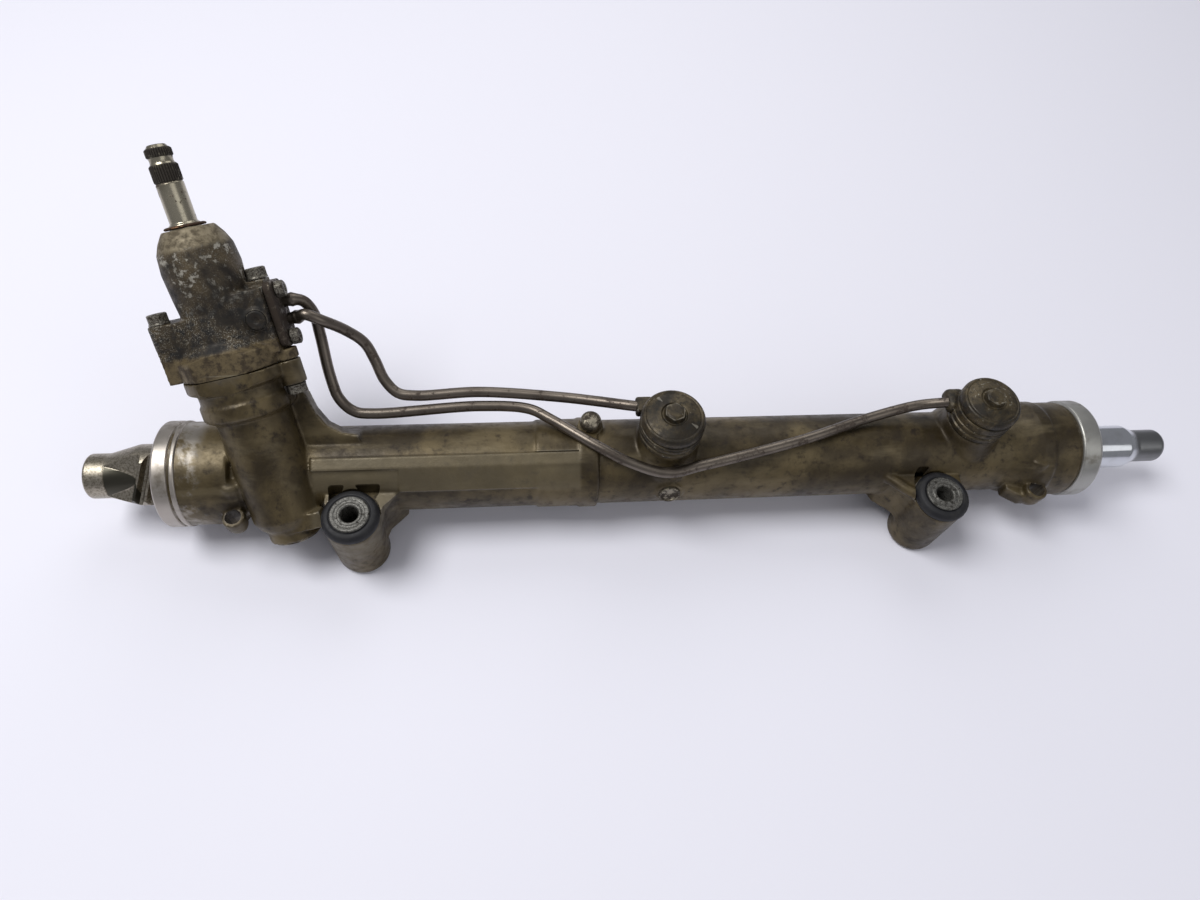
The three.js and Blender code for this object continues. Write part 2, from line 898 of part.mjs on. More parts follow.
for (const [side, [x, y]] of Object.entries(EARS)) {
  const rubber = turned([
    [8.3, FLOOR_Z + GAP],
    [12.7, FLOOR_Z + GAP],
    [12.7, EAR_TOP + GAP],
    [16, EAR_TOP + GAP],
    [16.7, EAR_TOP + 1.6],
    [16.4, EAR_TOP + 5],
    [14.8, EAR_TOP + 6],
    [8.3, EAR_TOP + 6],
    [8.3, FLOOR_Z + GAP],
  ]);
  node("bushing_rubber_" + side, "rubber", rubber, fixed).position.set(x, y, 0);
  const sleeve = turned([
    [BOLT_BORE_R, FLOOR_Z + GAP],
    [8, FLOOR_Z + GAP],
    [8, EAR_TOP + 6 + GAP],
    [11.4, EAR_TOP + 6 + GAP],
    [11.4, EAR_TOP + 7.6],
    [BOLT_BORE_R, EAR_TOP + 7.6],
    [BOLT_BORE_R, FLOOR_Z + GAP],
  ]);
  node("bushing_sleeve_" + side, "steel", sleeve, fixed).position.set(x, y, 0);
}

const ARMS = {
  left: box(283.2, 292, 8.5, 19, 38.5, 46.4),
  right: box(479.8, 492, 5.5, 21, 37, 46.4),
};
for (const [side, place] of Object.entries(PORTS)) {
  node("port_fitting_" + side, "grime", portFitting(place, STACKS[side], ARMS[side]), fixed);
  node("port_cap_" + side, "grime", portCap(place, STACKS[side]), fixed);
}
node("pipe_short", "steel", pipe("short", 32), fixed);
node("pipe_long", "steel", pipe("long", 46), fixed);
node("pipe_plate", "grime", pipePlate(), towerGroup);
PLATE_BOLTS.forEach((z, i) => {
  const mesh = node("pipe_plate_bolt_" + (i + 1), "rust", bolt(4.6, 5, 2.4, 11), towerGroup);
  mesh.position.set(PORT_FACE + 4.6, PLATE_BOLT_Y, z);
  mesh.rotation.y = Math.PI / 2;
});
FLANGE_BOLTS.forEach(([x, y], i) => {
  const mesh = node("flange_bolt_" + (i + 1), "rust", bolt(5.8, 5.6, 3, 19), towerGroup);
  mesh.position.set(x, y, 56);
  mesh.rotation.x = Math.PI;
});
node("side_block_bolt", "rust", bolt(5.6, 6.5, 2.5, 16), towerGroup).position.set(...SIDE_BOLT, BLOCK_TOP);
node("top_bolt", "rust", bolt(6, 6.5, 2, 7.5), towerGroup).position.set(...TOP_BOLT, PAD_TOP);
const disc = node("front_disc_plug", "cast", rod(5.2, -2.5, 1.5, undefined, SMALL_ROUND), towerGroup);
disc.applyMatrix4(DISC_PLUG);

const tubePlug = turned([
  [0, 25],
  [4, 25],
  [4, 28 + GAP],
  [6.4, 28 + GAP],
  [6.4, 33],
  [4.5, 35.6],
  [0, 36],
]);
node("tube_plug", "steel", tubePlug, fixed).applyMatrix4(TUBE_PLUG);
node("staked_plug", "steel", rod(6.5, 26.6, 29.2, undefined, SMALL_ROUND), fixed).applyMatrix4(STAKED_PLUG);

node("yoke", "brass", yoke(), yokeGroup);
node("yoke_spring", "steel", yokeSpring(), yokeGroup);
node("yoke_plug", "steel", yokePlug(), yokeGroup);

node("pinion_end_plug", "steel", cut(rod(13, -35.5, -29.5), prism(hexagon(12), -37, -32)), towerGroup);
node("pinion_lower_bearing", "steel", ring(6.3, 12, -29, -19.5), towerGroup);
node("pinion_upper_bearing", "steel", ring(10.3, 16.5, 32.3, 45.7), towerGroup);
node("bearing_circlip", "steel", ring(11.5, 16.5, 46, 48, undefined, SMALL_ROUND), towerGroup);
node("pinion_seal", "rubber", ring(9.3, 16.5, 52, 59), towerGroup);
node("input_bearing", "steel", ring(8.3, 16.3, 126, 136), towerGroup);
node("input_seal", "rubber", ring(8.3, 11.7, 138, 146), towerGroup);
node("input_dust_ring", "rust", ring(8.3, 10.8, CAP_TOP + GAP, 149.4), towerGroup);

node("cylinder_inner_seal", "rubber", ring(14.6, 21.7, 288.3, 296), fixed).applyMatrix4(ALONG_X);
node("rod_seal", "rubber", ring(14.6, 21.7, 521, 529.6), fixed).applyMatrix4(ALONG_X);
node("rod_bush", "plastic", ring(14.6, 21.7, 530, 565.6), fixed).applyMatrix4(ALONG_X);
node("retaining_ring", "steel", ring(16.5, 23.2, 566.4, 569.1), fixed).applyMatrix4(ALONG_X);
node("end_gland", "steel", ring(14.8, 21.7, 570, 583), fixed).applyMatrix4(ALONG_X);

node("pinion", "steel", pinion(), pinionGroup);
node("valve_sleeve", "steel", valveSleeve(), pinionGroup);
SLEEVE_GROOVES.forEach((z, i) => {
  const seal = ring(14.9, 16.3, -1, 1, undefined, SMALL_ROUND);
  node("sleeve_ring_" + (i + 1), "plastic", seal, pinionGroup).position.z = z;
});
node("torsion_bar", "steel", rod(2.7, 22, 175, undefined, 12), pinionGroup);
node("input_shaft", "steel", inputShaft(), inputGroup);

node("rack_bar", "chrome", rackBar(), barGroup);
const piston = cut(
  ring(ROD_R + GAP, 21.2, PISTON_X - 8, PISTON_X + 8),
  ring(19.3, 23, PISTON_X - 2.4, PISTON_X + 2.4),
);
node("piston", "steel", piston, barGroup).applyMatrix4(ALONG_X);
const pistonRing = ring(19.6, 21.7, PISTON_X - 2, PISTON_X + 2);
node("piston_ring", "plastic", pistonRing, barGroup).applyMatrix4(ALONG_X);

const bounds = new THREE.Box3().setFromObject(assembly);
const centre = bounds.getCenter(new THREE.Vector3());
assembly.position.set(-centre.x, -centre.y, -bounds.min.z);
const part = new THREE.Group();
part.add(assembly);

export default part;
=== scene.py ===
"""Looks for the steering rack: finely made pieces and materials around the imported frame.

Shapes are worked out in millimetres, with the zero on the bar's axis just outside the left rim,
+X along the bar, +Y to the back and +Z up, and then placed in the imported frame.
"""

import json
import math

import bpy
from mathutils import Matrix, Vector


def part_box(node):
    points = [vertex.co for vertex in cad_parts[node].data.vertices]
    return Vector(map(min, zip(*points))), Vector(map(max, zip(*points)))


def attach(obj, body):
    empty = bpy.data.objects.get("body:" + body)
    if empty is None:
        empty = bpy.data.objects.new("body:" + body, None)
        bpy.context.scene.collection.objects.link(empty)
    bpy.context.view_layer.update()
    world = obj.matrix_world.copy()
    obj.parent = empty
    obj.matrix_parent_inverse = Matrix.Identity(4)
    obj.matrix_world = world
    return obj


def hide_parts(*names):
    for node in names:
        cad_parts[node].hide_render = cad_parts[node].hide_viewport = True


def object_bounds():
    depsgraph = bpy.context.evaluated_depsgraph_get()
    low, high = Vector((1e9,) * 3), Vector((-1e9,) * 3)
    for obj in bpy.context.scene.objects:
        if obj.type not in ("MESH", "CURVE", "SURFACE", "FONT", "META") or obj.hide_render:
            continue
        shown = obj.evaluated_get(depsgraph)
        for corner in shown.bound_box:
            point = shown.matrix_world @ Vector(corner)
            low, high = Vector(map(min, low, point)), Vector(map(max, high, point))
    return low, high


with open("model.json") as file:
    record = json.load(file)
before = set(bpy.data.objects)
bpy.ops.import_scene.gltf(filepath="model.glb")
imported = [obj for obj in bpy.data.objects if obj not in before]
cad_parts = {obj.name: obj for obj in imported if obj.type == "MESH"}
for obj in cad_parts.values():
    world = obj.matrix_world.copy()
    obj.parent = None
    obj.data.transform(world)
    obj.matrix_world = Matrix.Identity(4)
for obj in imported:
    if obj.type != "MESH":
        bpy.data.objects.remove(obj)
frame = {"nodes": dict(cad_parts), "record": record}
cad_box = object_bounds()

# ------------------------------------------------------------------ sizes and places, millimetres

GAP = 0.3  # left between pieces that meet
RIM_X = 2.5
HOUSING_END = 585
COLLAR_R = 32
TUBE_R = 26.5
BAR_BORE_R = 19.5
CYLINDER_R = 22
CYLINDER_START = 288
FLOOR_Z = -38

PINION_X = 69.5
PINION_OFFSET = 20
LEAN = math.radians(48)  # rise of the pinion axis above the horizontal
RAKE = math.radians(11.8)  # its tilt towards the toothed end
JOINT_Z = 70  # where the valve housing meets the rack housing, up the pinion axis

BAR_START = -43
BAR_END = 647
NECK_R = 13.5
NECK_END = -31
TIP_R = 10.8
BAR_R = 18.5
ROD_R = 14.3
ROD_START = 183
SOCKET_R = 6
SOCKET_DEPTH = 24
TOOTH_COUNT = 29
TIP_Y = 13.9
ROOT_Y = 9.6
PITCH_Y = 12
PITCH_R = 8
PINION_TEETH = 7
HELIX = math.radians(30)
NORMAL_PITCH = 2 * math.pi * PITCH_R * math.cos(HELIX) / PINION_TEETH
TOOTH_SLANT = HELIX - RAKE
RACK_PITCH = NORMAL_PITCH / math.cos(TOOTH_SLANT)
TOOTH_START = PINION_X - 13 * RACK_PITCH  # middle of the space before the first tooth

EARS = {"left": (112.5, -39), "right": (474.8, -39.3)}  # x, y of the upright bolt axes
EAR_TOP = 10
BUSH_R = 13
PORTS = {"left": (302, 0), "right": (499.5, 3.4)}
STACKS = {"left": (19.4, 46.5, 53.5), "right": (18.3, 50, 57)}  # radius, seam and dome edge
PORT_SEAT_Z = 34
PORT_FACE = 30
PIPE_R = 3.25
LUGS = ((44.7, -33.9, 6.6, 4.6), (543.4, -34.1, 7, 5))  # x, y, radius and hole radius
LUG_TOP = 8
REAR_FOOT = (549, 18)  # x, y of the foot behind the right collar's axis
LUG_WEDGE = [(526.5, -30.5), (536, -37), (544, -37), (544, -26), (527, -26)]
RIB_X = (90, 247)
RIB_HALF = 3.8
RIB_ANGLE = math.radians(113)
PANEL_ANGLE = math.radians(136.7)
FLATS_ANGLE = math.radians(128)  # about the middle of the rib and the panel together

# In the tower's own frame: Z up the pinion axis, X across it to the right, Y to the back.
PIPE_PORTS = {"short": (7, 90), "long": (7, 100)}  # y, z
PLATE_THICKNESS = 4.6
PLATE_BOLT_Y = -0.5
PLATE_BOLTS = (81, 107.5)
FLANGE_BOLTS = ((29.5, -4), (-22, 20))
FLANGE_FRONT = -24.5
FLANGE_FOOT_Z = 56
EAR_Z = 76
BLOCK_FACE = -32.5
BLOCK_TOP = 102.5
PORT_BLOCK_TOP = 111
PAD_TOP = 114.5
SIDE_BOLT = (-27, -9.4, BLOCK_TOP)
TOP_BOLT = (25.5, 4.4, PAD_TOP)
LINE_PORTS = (78, 94)
CAP_TOP = 147.5
INPUT_END = 189.5

# ------------------------------------------------------------------ frames

bar_low, bar_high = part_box("rack_bar")
middle = (bar_low + bar_high) / 2
ZERO = Vector((bar_low.x - BAR_START / 1000, middle.y, middle.z))
RACK = Matrix.Translation(ZERO) @ Matrix.Scale(0.001, 4)


def turn(axis, angle):
    return Matrix.Rotation(angle, 4, axis)


def at(x, y, z):
    return Matrix.Translation((x, y, z))


UPRIGHT = Matrix.Identity(4)
ALONG_X = turn("Y", math.pi / 2)
TOWER = (
    at(PINION_X, -PINION_OFFSET * math.sin(LEAN), PINION_OFFSET * math.cos(LEAN))
    @ turn("X", LEAN - math.pi / 2)
    @ turn("Y", -RAKE)
)


def tower_at(x, y, z=0):
    return TOWER @ at(x, y, z)


YOKE = at(PINION_X, 0, 0) @ turn("X", LEAN - math.pi)
TUBE_PLUG = at(255, 10.5, 0)
STAKED_PLUG = at(303.3, 0, 0) @ turn("X", math.radians(78.5))
DISC_PLUG = tower_at(23.6, -14, 95) @ turn("X", math.pi / 2)
TOOTH_FACE = turn("X", LEAN - math.pi / 2)  # its -Y points out of the toothed face

# ------------------------------------------------------------------ mesh making


def softened(profile, radius, closed=False, steps=4):
    """The outline with its corners rounded by up to the radius."""
    count = len(profile)
    made = []
    for i, point in enumerate(profile):
        if not closed and i in (0, count - 1):
            made.append(point)
            continue
        corner = Vector(point)
        before = Vector(profile[i - 1]) - corner
        after = Vector(profile[(i + 1) % count]) - corner
        reach = min(radius, 0.45 * before.length, 0.45 * after.length)
        start = corner + before.normalized() * reach
        end = corner + after.normalized() * reach
        for k in range(steps + 1):
            t = k / steps
            made.append(tuple(start * (1 - t) ** 2 + corner * 2 * t * (1 - t) + end * t * t))
    return made


class Solid:
    """Closed bodies gathered into one mesh."""

    def __init__(self):
        self.points = []
        self.faces = []

    def add(self, points, faces, place):
        first = len(self.points)
        self.points += [RACK @ place @ Vector(p) for p in points]
        self.faces += [tuple(first + i for i in face) for face in faces]
        return self

    def turned(self, profile, place, sides=96):
        """A body of revolution about Z. The profile is [radius, z], going up on its outside, and
        either starts and ends on the axis or closes on itself."""
        closed = profile[0][0] > 0
        points = []
        rows = []
        for r, z in profile:
            if r < 1e-9:
                rows.append([len(points)] * sides)
                points.append((0, 0, z))
                continue
            rows.append(list(range(len(points), len(points) + sides)))
            for i in range(sides):
                a = 2 * math.pi * i / sides
                points.append((r * math.cos(a), r * math.sin(a), z))
        faces = []
        pairs = list(zip(rows, rows[1:]))
        if closed:
            pairs.append((rows[-1], rows[0]))
        for low, high in pairs:
            for i in range(sides):
                j = (i + 1) % sides
                face = [low[i], low[j], high[j], high[i]]
                face = [v for k, v in enumerate(face) if v != face[k - 1]]
                if len(face) > 2:
                    faces.append(face)
        return self.add(points, faces, place)

    def rod(self, radius, low, high, place, sides=96):
        return self.turned([(0, low), (radius, low), (radius, high), (0, high)], place, sides)

    def prism(self, outline, low, high, place):
        count = len(outline)
        points = [(x, y, low) for x, y in outline] + [(x, y, high) for x, y in outline]
        faces = [list(reversed(range(count))), list(range(count, 2 * count))]
        for i in range(count):
            j = (i + 1) % count
            faces.append([i, j, count + j, count + i])
        return self.add(points, faces, place)

    def box(self, x, y, z, place):
        outline = [(x[0], y[0]), (x[1], y[0]), (x[1], y[1]), (x[0], y[1])]
        return self.prism(outline, z[0], z[1], place)

    def swept(self, path, radii, sides=24):
        """A round bar along the path's points, in rack millimetres, with a radius at each."""
        normal = None
        points = []
        for i, here in enumerate(path):
            ahead = path[min(i + 1, len(path) - 1)] - path[max(i - 1, 0)]
            ahead.normalize()
            if normal is None:
                normal = ahead.orthogonal().normalized()
            normal = (normal - ahead * normal.dot(ahead)).normalized()
            across = ahead.cross(normal)
            for k in range(sides):
                a = 2 * math.pi * k / sides
                points.append(here + (normal * math.cos(a) + across * math.sin(a)) * radii[i])
        faces = [list(reversed(range(sides)))]
        last = (len(path) - 1) * sides
        faces.append(list(range(last, last + sides)))
        for i in range(len(path) - 1):
            for k in range(sides):
                a, b = i * sides + k, i * sides + (k + 1) % sides
                faces.append([a, b, b + sides, a + sides])
        return self.add(points, faces, UPRIGHT)

    def made(self, name):
        mesh = bpy.data.meshes.new(name)
        mesh.from_pydata(self.points, [], self.faces)
        mesh.update()
        piece = bpy.data.objects.new(name, mesh)
        bpy.context.scene.collection.objects.link(piece)
        return piece


def bake_modifiers(piece):
    """The piece with its modifiers applied."""
    bpy.context.view_layer.update()
    graph = bpy.context.evaluated_depsgraph_get()
    mesh = bpy.data.meshes.new_from_object(piece.evaluated_get(graph))
    old = piece.data
    piece.modifiers.clear()
    piece.data = mesh
    bpy.data.meshes.remove(old)
    return piece


def combine(piece, tools, operation):
    """Joins or cuts the piece with each closed tool in turn, and clears the tools away."""
    helpers = [tool.made("tool") for tool in tools]
    for helper in helpers:
        change = piece.modifiers.new("Shape", "BOOLEAN")
        change.operation = operation
        change.solver = "MANIFOLD"
        change.object = helper
    bake_modifiers(piece)
    for helper in helpers:
        mesh = helper.data
        bpy.data.objects.remove(helper)
        bpy.data.meshes.remove(mesh)
    return piece


def cut(piece, *tools):
    return combine(piece, tools, "DIFFERENCE")


def cast(name, body, voxel, rounds):
    """One casting from overlapping bodies, with its inner corners filleted."""
    piece = body.made(name)
    skin = piece.modifiers.new("Skin", "REMESH")
    skin.mode = "VOXEL"
    skin.voxel_size = voxel / 1000
    blend = piece.modifiers.new("Fillets", "SMOOTH")
    blend.factor = 0.5
    blend.iterations = rounds
    return bake_modifiers(piece)


def bevelled(piece, width, segments):
    """The piece with its edges rounded by that many millimetres."""
    edge = piece.modifiers.new("Edge", "BEVEL")
    edge.width = width / 1000
    edge.segments = segments
    return bake_modifiers(piece)


def finished(piece, look, body, slot, *nodes, angle=34):
    """Shades the piece, gives it its material and hangs it on its CAD body."""
    piece.data.shade_smooth()
    piece.data.set_sharp_from_angle(angle=math.radians(angle))
    piece.data.materials.clear()
    piece.data.materials.append(look)
    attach(piece, body)
    if nodes:
        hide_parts(*nodes)
    return piece


def hexagon(across, edge=0.0):
    r = across / 2 / math.cos(math.pi / 6)
    points = [(r * math.cos(math.pi * i / 3), r * math.sin(math.pi * i / 3)) for i in range(6)]
    return softened(points, edge, closed=True, steps=3) if edge else points


# ------------------------------------------------------------------ materials


class Look:
    """A procedural material under construction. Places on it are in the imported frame, in metres."""

    def __init__(self, name):
        self.material = bpy.data.materials.new(name)
        self.material.use_nodes = True
        self.tree = self.material.node_tree
        self.shader = self.tree.nodes["Principled BSDF"]
        self.place = self.tree.nodes.new("ShaderNodeTexCoord").outputs["Object"]

    def link(self, source, target):
        self.tree.links.new(source, target)

    def stretched(self, scale):
        """The place, scaled along X, Y and Z."""
        node = self.tree.nodes.new("ShaderNodeMapping")
        node.inputs["Scale"].default_value = scale
        self.link(self.place, node.inputs["Vector"])
        return node.outputs["Vector"]

    def noise(self, scale, detail=4.0, roughness=0.55, place=None, distortion=0.0):
        node = self.tree.nodes.new("ShaderNodeTexNoise")
        node.inputs["Scale"].default_value = scale
        node.inputs["Detail"].default_value = detail
        node.inputs["Roughness"].default_value = roughness
        node.inputs["Distortion"].default_value = distortion
        self.link(place or self.place, node.inputs["Vector"])
        return node.outputs["Fac"]

    def reach(self, origin, direction):
        """How far the place lies from the origin along the direction, both in rack millimetres."""
        node = self.tree.nodes.new("ShaderNodeVectorMath")
        node.operation = "DOT_PRODUCT"
        self.link(self.place, node.inputs[0])
        node.inputs[1].default_value = direction * 1000
        return self.math("SUBTRACT", node.outputs["Value"], (RACK @ origin).dot(direction) * 1000)

    def ramp(self, value, low, high, at_low=0.0, at_high=1.0):
        """Runs smoothly from one number at the low value to another at the high value."""
        node = self.tree.nodes.new("ShaderNodeMapRange")
        node.interpolation_type = "SMOOTHSTEP"
        keys = ("From Min", "From Max", "To Min", "To Max")
        for key, number in zip(keys, (low, high, at_low, at_high)):
            node.inputs[key].default_value = number
        self.link(value, node.inputs["Value"])
        return node.outputs["Result"]

    def between(self, value, low, full, fade, high):
        """Rises from 0 at low to 1 at full, and falls from 1 at fade to 0 at high."""
        return self.math("MULTIPLY", self.ramp(value, low, full), self.ramp(value, high, fade))

    def math(self, kind, a, b):
        node = self.tree.nodes.new("ShaderNodeMath")
        node.operation = kind
        for socket, value in zip(node.inputs, (a, b)):
            if isinstance(value, (int, float)):
                socket.default_value = value
            else:
                self.link(value, socket)
        return node.outputs[0]

    def along(self, axis):
        node = self.tree.nodes.new("ShaderNodeSeparateXYZ")
        self.link(self.place, node.inputs[0])
        return node.outputs[axis]

    def worn(self, low, high):
        """High on raised edges: edge wear together with a painted highlight along them."""
        node = self.tree.nodes.new("ShaderNodeNewGeometry")
        return self.ramp(node.outputs["Pointiness"], low, high)

    def mix(self, share, a, b):
        node = self.tree.nodes.new("ShaderNodeMix")
        node.data_type = "RGBA"
        self.link(share, node.inputs["Factor"])
        for socket, value in zip((node.inputs[6], node.inputs[7]), (a, b)):
            if isinstance(value, tuple):
                socket.default_value = (*value, 1)
            else:
                self.link(value, socket)
        return node.outputs[2]

    def bump(self, height, strength, distance, below=None):
        node = self.tree.nodes.new("ShaderNodeBump")
        node.inputs["Strength"].default_value = strength
        node.inputs["Distance"].default_value = distance / 1000
        self.link(height, node.inputs["Height"])
        if below:
            self.link(below, node.inputs["Normal"])
        return node.outputs["Normal"]

    def done(self, color, roughness, metallic, normal=None, specular=0.5):
        for key, value in (("Base Color", color), ("Roughness", roughness), ("Metallic", metallic)):
            socket = self.shader.inputs[key]
            if isinstance(value, (int, float)):
                socket.default_value = value
            else:
                self.link(value, socket)
        self.shader.inputs["Specular IOR Level"].default_value = specular
        if normal:
            self.link(normal, self.shader.inputs["Normal"])
        return self.material


def row_x(x):
    """A place along the bar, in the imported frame."""
    return ZERO.x + x / 1000


def housing_look():
    look = Look("cast_housing")
    broad = look.noise(22, 6, 0.6, distortion=0.4)
    fine = look.noise(160, 5, 0.65)
    grain = look.noise(900, 3, 0.6)
    streaks = look.noise(60, 4, 0.6, place=look.stretched((0.25, 1, 1)))
    olive = look.mix(look.ramp(broad, 0.36, 0.66), (0.03, 0.02, 0.007), (0.115, 0.085, 0.038))
    stained = look.mix(look.ramp(fine, 0.5, 0.75), olive, (0.017, 0.01, 0.004))
    pale = look.mix(look.ramp(streaks, 0.52, 0.72, 0, 0.5), stained, (0.17, 0.135, 0.075))
    x = look.along("X")
    near_left = look.ramp(x, row_x(32), row_x(24))
    band = look.between(x, row_x(543), row_x(545), row_x(552), row_x(554))
    clean = look.math("MAXIMUM", near_left, band)
    # The rib and panel faces are painted lighter than the tube around them: a painted highlight on these
    # flat faces.
    front = look.reach(Vector((0, 0, 0)), Vector((0, math.cos(FLATS_ANGLE), math.sin(FLATS_ANGLE))))
    flats = look.between(x, row_x(88), row_x(92), row_x(246), row_x(249))
    flats = look.math("MULTIPLY", flats, look.ramp(front, TUBE_R - 2.5, TUBE_R - 1))
    pale = look.mix(look.math("MULTIPLY", flats, 0.6), pale, (0.14, 0.115, 0.07))
    patch = look.ramp(look.math("ADD", broad, look.math("MULTIPLY", fine, 0.35)), 0.68, 0.8, 0, 0.8)
    bare = look.math("MULTIPLY", clean, patch)
    # Raised edges are lighter: edge wear together with a painted highlight along them.
    edges = look.math("MULTIPLY", look.worn(0.525, 0.6), 0.45)
    bare = look.math("MAXIMUM", bare, edges)
    color = look.mix(bare, pale, (0.34, 0.315, 0.28))
    roughness = look.math("ADD", look.ramp(fine, 0.3, 0.7, 0.36, 0.56), look.math("MULTIPLY", bare, -0.08))
    metallic = look.math("ADD", look.math("MULTIPLY", bare, 0.5), 0.42)
    normal = look.bump(grain, 0.5, 0.12, look.bump(fine, 0.5, 0.3, look.bump(broad, 0.3, 0.8)))
    return look.done(color, roughness, metallic, normal)


def valve_look():
    look = Look("grimy_valve_casting")
    broad = look.noise(34, 6, 0.65, distortion=0.6)
    mid = look.noise(220, 6, 0.7)
    fine = look.noise(950, 3, 0.6)
    height = look.reach(TOWER @ Vector((0, 0, 0)), (TOWER.to_3x3() @ Vector((0, 0, 1))).normalized())
    base = look.mix(look.ramp(broad, 0.38, 0.62), (0.014, 0.01, 0.006), (0.085, 0.062, 0.032))
    grimy = look.math("MULTIPLY", look.ramp(mid, 0.44, 0.62), look.ramp(height, 122, 96, 0.35, 1))
    black = look.mix(grimy, base, (0.009, 0.008, 0.007))
    crust = look.math("MULTIPLY", look.ramp(mid, 0.53, 0.6), look.ramp(broad, 0.4, 0.56))
    crust = look.math("MULTIPLY", crust, look.ramp(height, 100, 112))
    specks = look.ramp(look.noise(1500, 2, 0.6), 0.56, 0.62, 0, 0.85)
    clustered = look.math("MULTIPLY", look.ramp(broad, 0.4, 0.58), look.ramp(height, 116, 100, 0.25, 1))
    spots = look.math("MAXIMUM", crust, look.math("MULTIPLY", specks, clustered))
    color = look.mix(spots, black, (0.34, 0.32, 0.27))
    brown = look.mix(look.ramp(mid, 0.4, 0.62), (0.125, 0.093, 0.046), (0.04, 0.027, 0.013))
    color = look.mix(look.ramp(height, 84.5, 82.5), color, brown)
    cap = look.mix(look.ramp(mid, 0.4, 0.62), (0.2, 0.165, 0.105), (0.085, 0.066, 0.038))
    color = look.mix(look.ramp(height, 136, 139), color, cap)
    # Raised edges are lighter: edge wear together with a painted highlight along them.
    edges = look.math("MULTIPLY", look.worn(0.53, 0.6), 0.3)
    color = look.mix(edges, color, (0.3, 0.27, 0.2))
    roughness = look.ramp(mid, 0.3, 0.7, 0.45, 0.75)
    normal = look.bump(fine, 0.5, 0.15, look.bump(mid, 0.8, 0.45, look.bump(broad, 0.3, 0.8)))
    return look.done(color, roughness, 0.35, normal)


def bare_steel_look(name, light, dark, rust, rusty, roughness):
    """Drawn or turned steel with darker handling marks and rust over part of it."""
    look = Look(name)
    broad = look.noise(45, 5, 0.6)
    mid = look.noise(260, 6, 0.7)
    fine = look.noise(1400, 2, 0.5)
    steel = look.mix(look.ramp(broad, 0.35, 0.7), light, dark)
    patchy = look.math("ADD", mid, look.math("MULTIPLY", broad, 0.4))
    spots = look.ramp(patchy, 0.78 - rusty, 0.86 - rusty)
    color = look.mix(spots, steel, rust)
    rough = look.math("ADD", look.math("MULTIPLY", spots, 0.35), roughness)
    metallic = look.math("SUBTRACT", 0.95, look.math("MULTIPLY", spots, 0.6))
    normal = look.bump(fine, 0.25, 0.05, look.bump(mid, 0.35, 0.15))
    return look.done(color, rough, metallic, normal)


def machined_look(name, color, roughness):
    """Turned aluminium: fine rings of tool marks, with a few stains."""
    look = Look(name)
    rings = look.noise(2600, 1, 0.5, place=look.stretched((1, 0.02, 0.02)))
    broad = look.noise(60, 5, 0.6)
    stain = look.ramp(broad, 0.52, 0.72, 0, 0.75)
    tint = look.mix(stain, color, (0.13, 0.11, 0.08))
    rough = look.ramp(broad, 0.3, 0.7, roughness - 0.06, roughness + 0.12)
    return look.done(tint, rough, 0.9, look.bump(rings, 0.3, 0.03, look.bump(broad, 0.1, 0.3)))


def chrome_look():
    look = Look("polished_rod")
    x = look.along("X")
    marks = look.noise(300, 3, 0.5, place=look.stretched((0.06, 1, 1)))
    fine = look.noise(900, 3, 0.6)
    toothed = look.ramp(x, row_x(30), row_x(0))
    tip = look.ramp(x, row_x(621), row_x(627))
    dull = look.math("MAXIMUM", toothed, tip)
    smudge = look.ramp(look.noise(70, 5, 0.6), 0.45, 0.75, 0, 0.4)
    polished = look.mix(smudge, (0.62, 0.64, 0.67), (0.4, 0.4, 0.4))
    worn = look.mix(look.ramp(fine, 0.4, 0.65), (0.4, 0.36, 0.29), (0.21, 0.185, 0.145))
    color = look.mix(toothed, polished, worn)
    color = look.mix(look.math("MULTIPLY", tip, 0.75), color, (0.07, 0.068, 0.062))
    out = TOOTH_FACE.to_3x3() @ Vector((0, -1, 0))
    above_flat = look.ramp(look.reach(Vector((0, 0, 0)), out), ROOT_Y + 0.1, ROOT_Y + 0.3)
    # The rounded end of the neck above the flat is painted dark: painted shade on that end.
    bullet = look.between(x, row_x(-31), row_x(-30.6), row_x(-13), row_x(-12.5))
    color = look.mix(look.math("MULTIPLY", bullet, above_flat), color, (0.075, 0.07, 0.055))
    rough = look.math("ADD", look.math("MULTIPLY", dull, 0.24), look.ramp(marks, 0.3, 0.7, 0.09, 0.17))
    return look.done(color, rough, 1.0, look.bump(marks, 0.12, 0.03, look.bump(fine, 0.15, 0.04)))


def rubber_look():
    look = Look("bushing_rubber")
    dust = look.noise(120, 6, 0.65)
    fine = look.noise(1100, 3, 0.6)
    color = look.mix(look.ramp(dust, 0.45, 0.75, 0, 0.75), (0.006, 0.006, 0.008), (0.032, 0.031, 0.029))
    rough = look.ramp(dust, 0.3, 0.7, 0.5, 0.75)
    return look.done(color, rough, 0.0, look.bump(fine, 0.4, 0.08, look.bump(dust, 0.3, 0.3)), 0.4)


def speckled_look(name, low, high, stain):
    look = Look(name)
    mid = look.noise(420, 5, 0.7)
    fine = look.noise(1500, 3, 0.6)
    base = look.mix(look.ramp(fine, 0.4, 0.6), low, high)
    color = look.mix(look.ramp(mid, 0.52, 0.62), base, stain)
    return look.done(color, look.ramp(mid, 0.3, 0.7, 0.4, 0.65), 0.6, look.bump(mid, 0.5, 0.2))


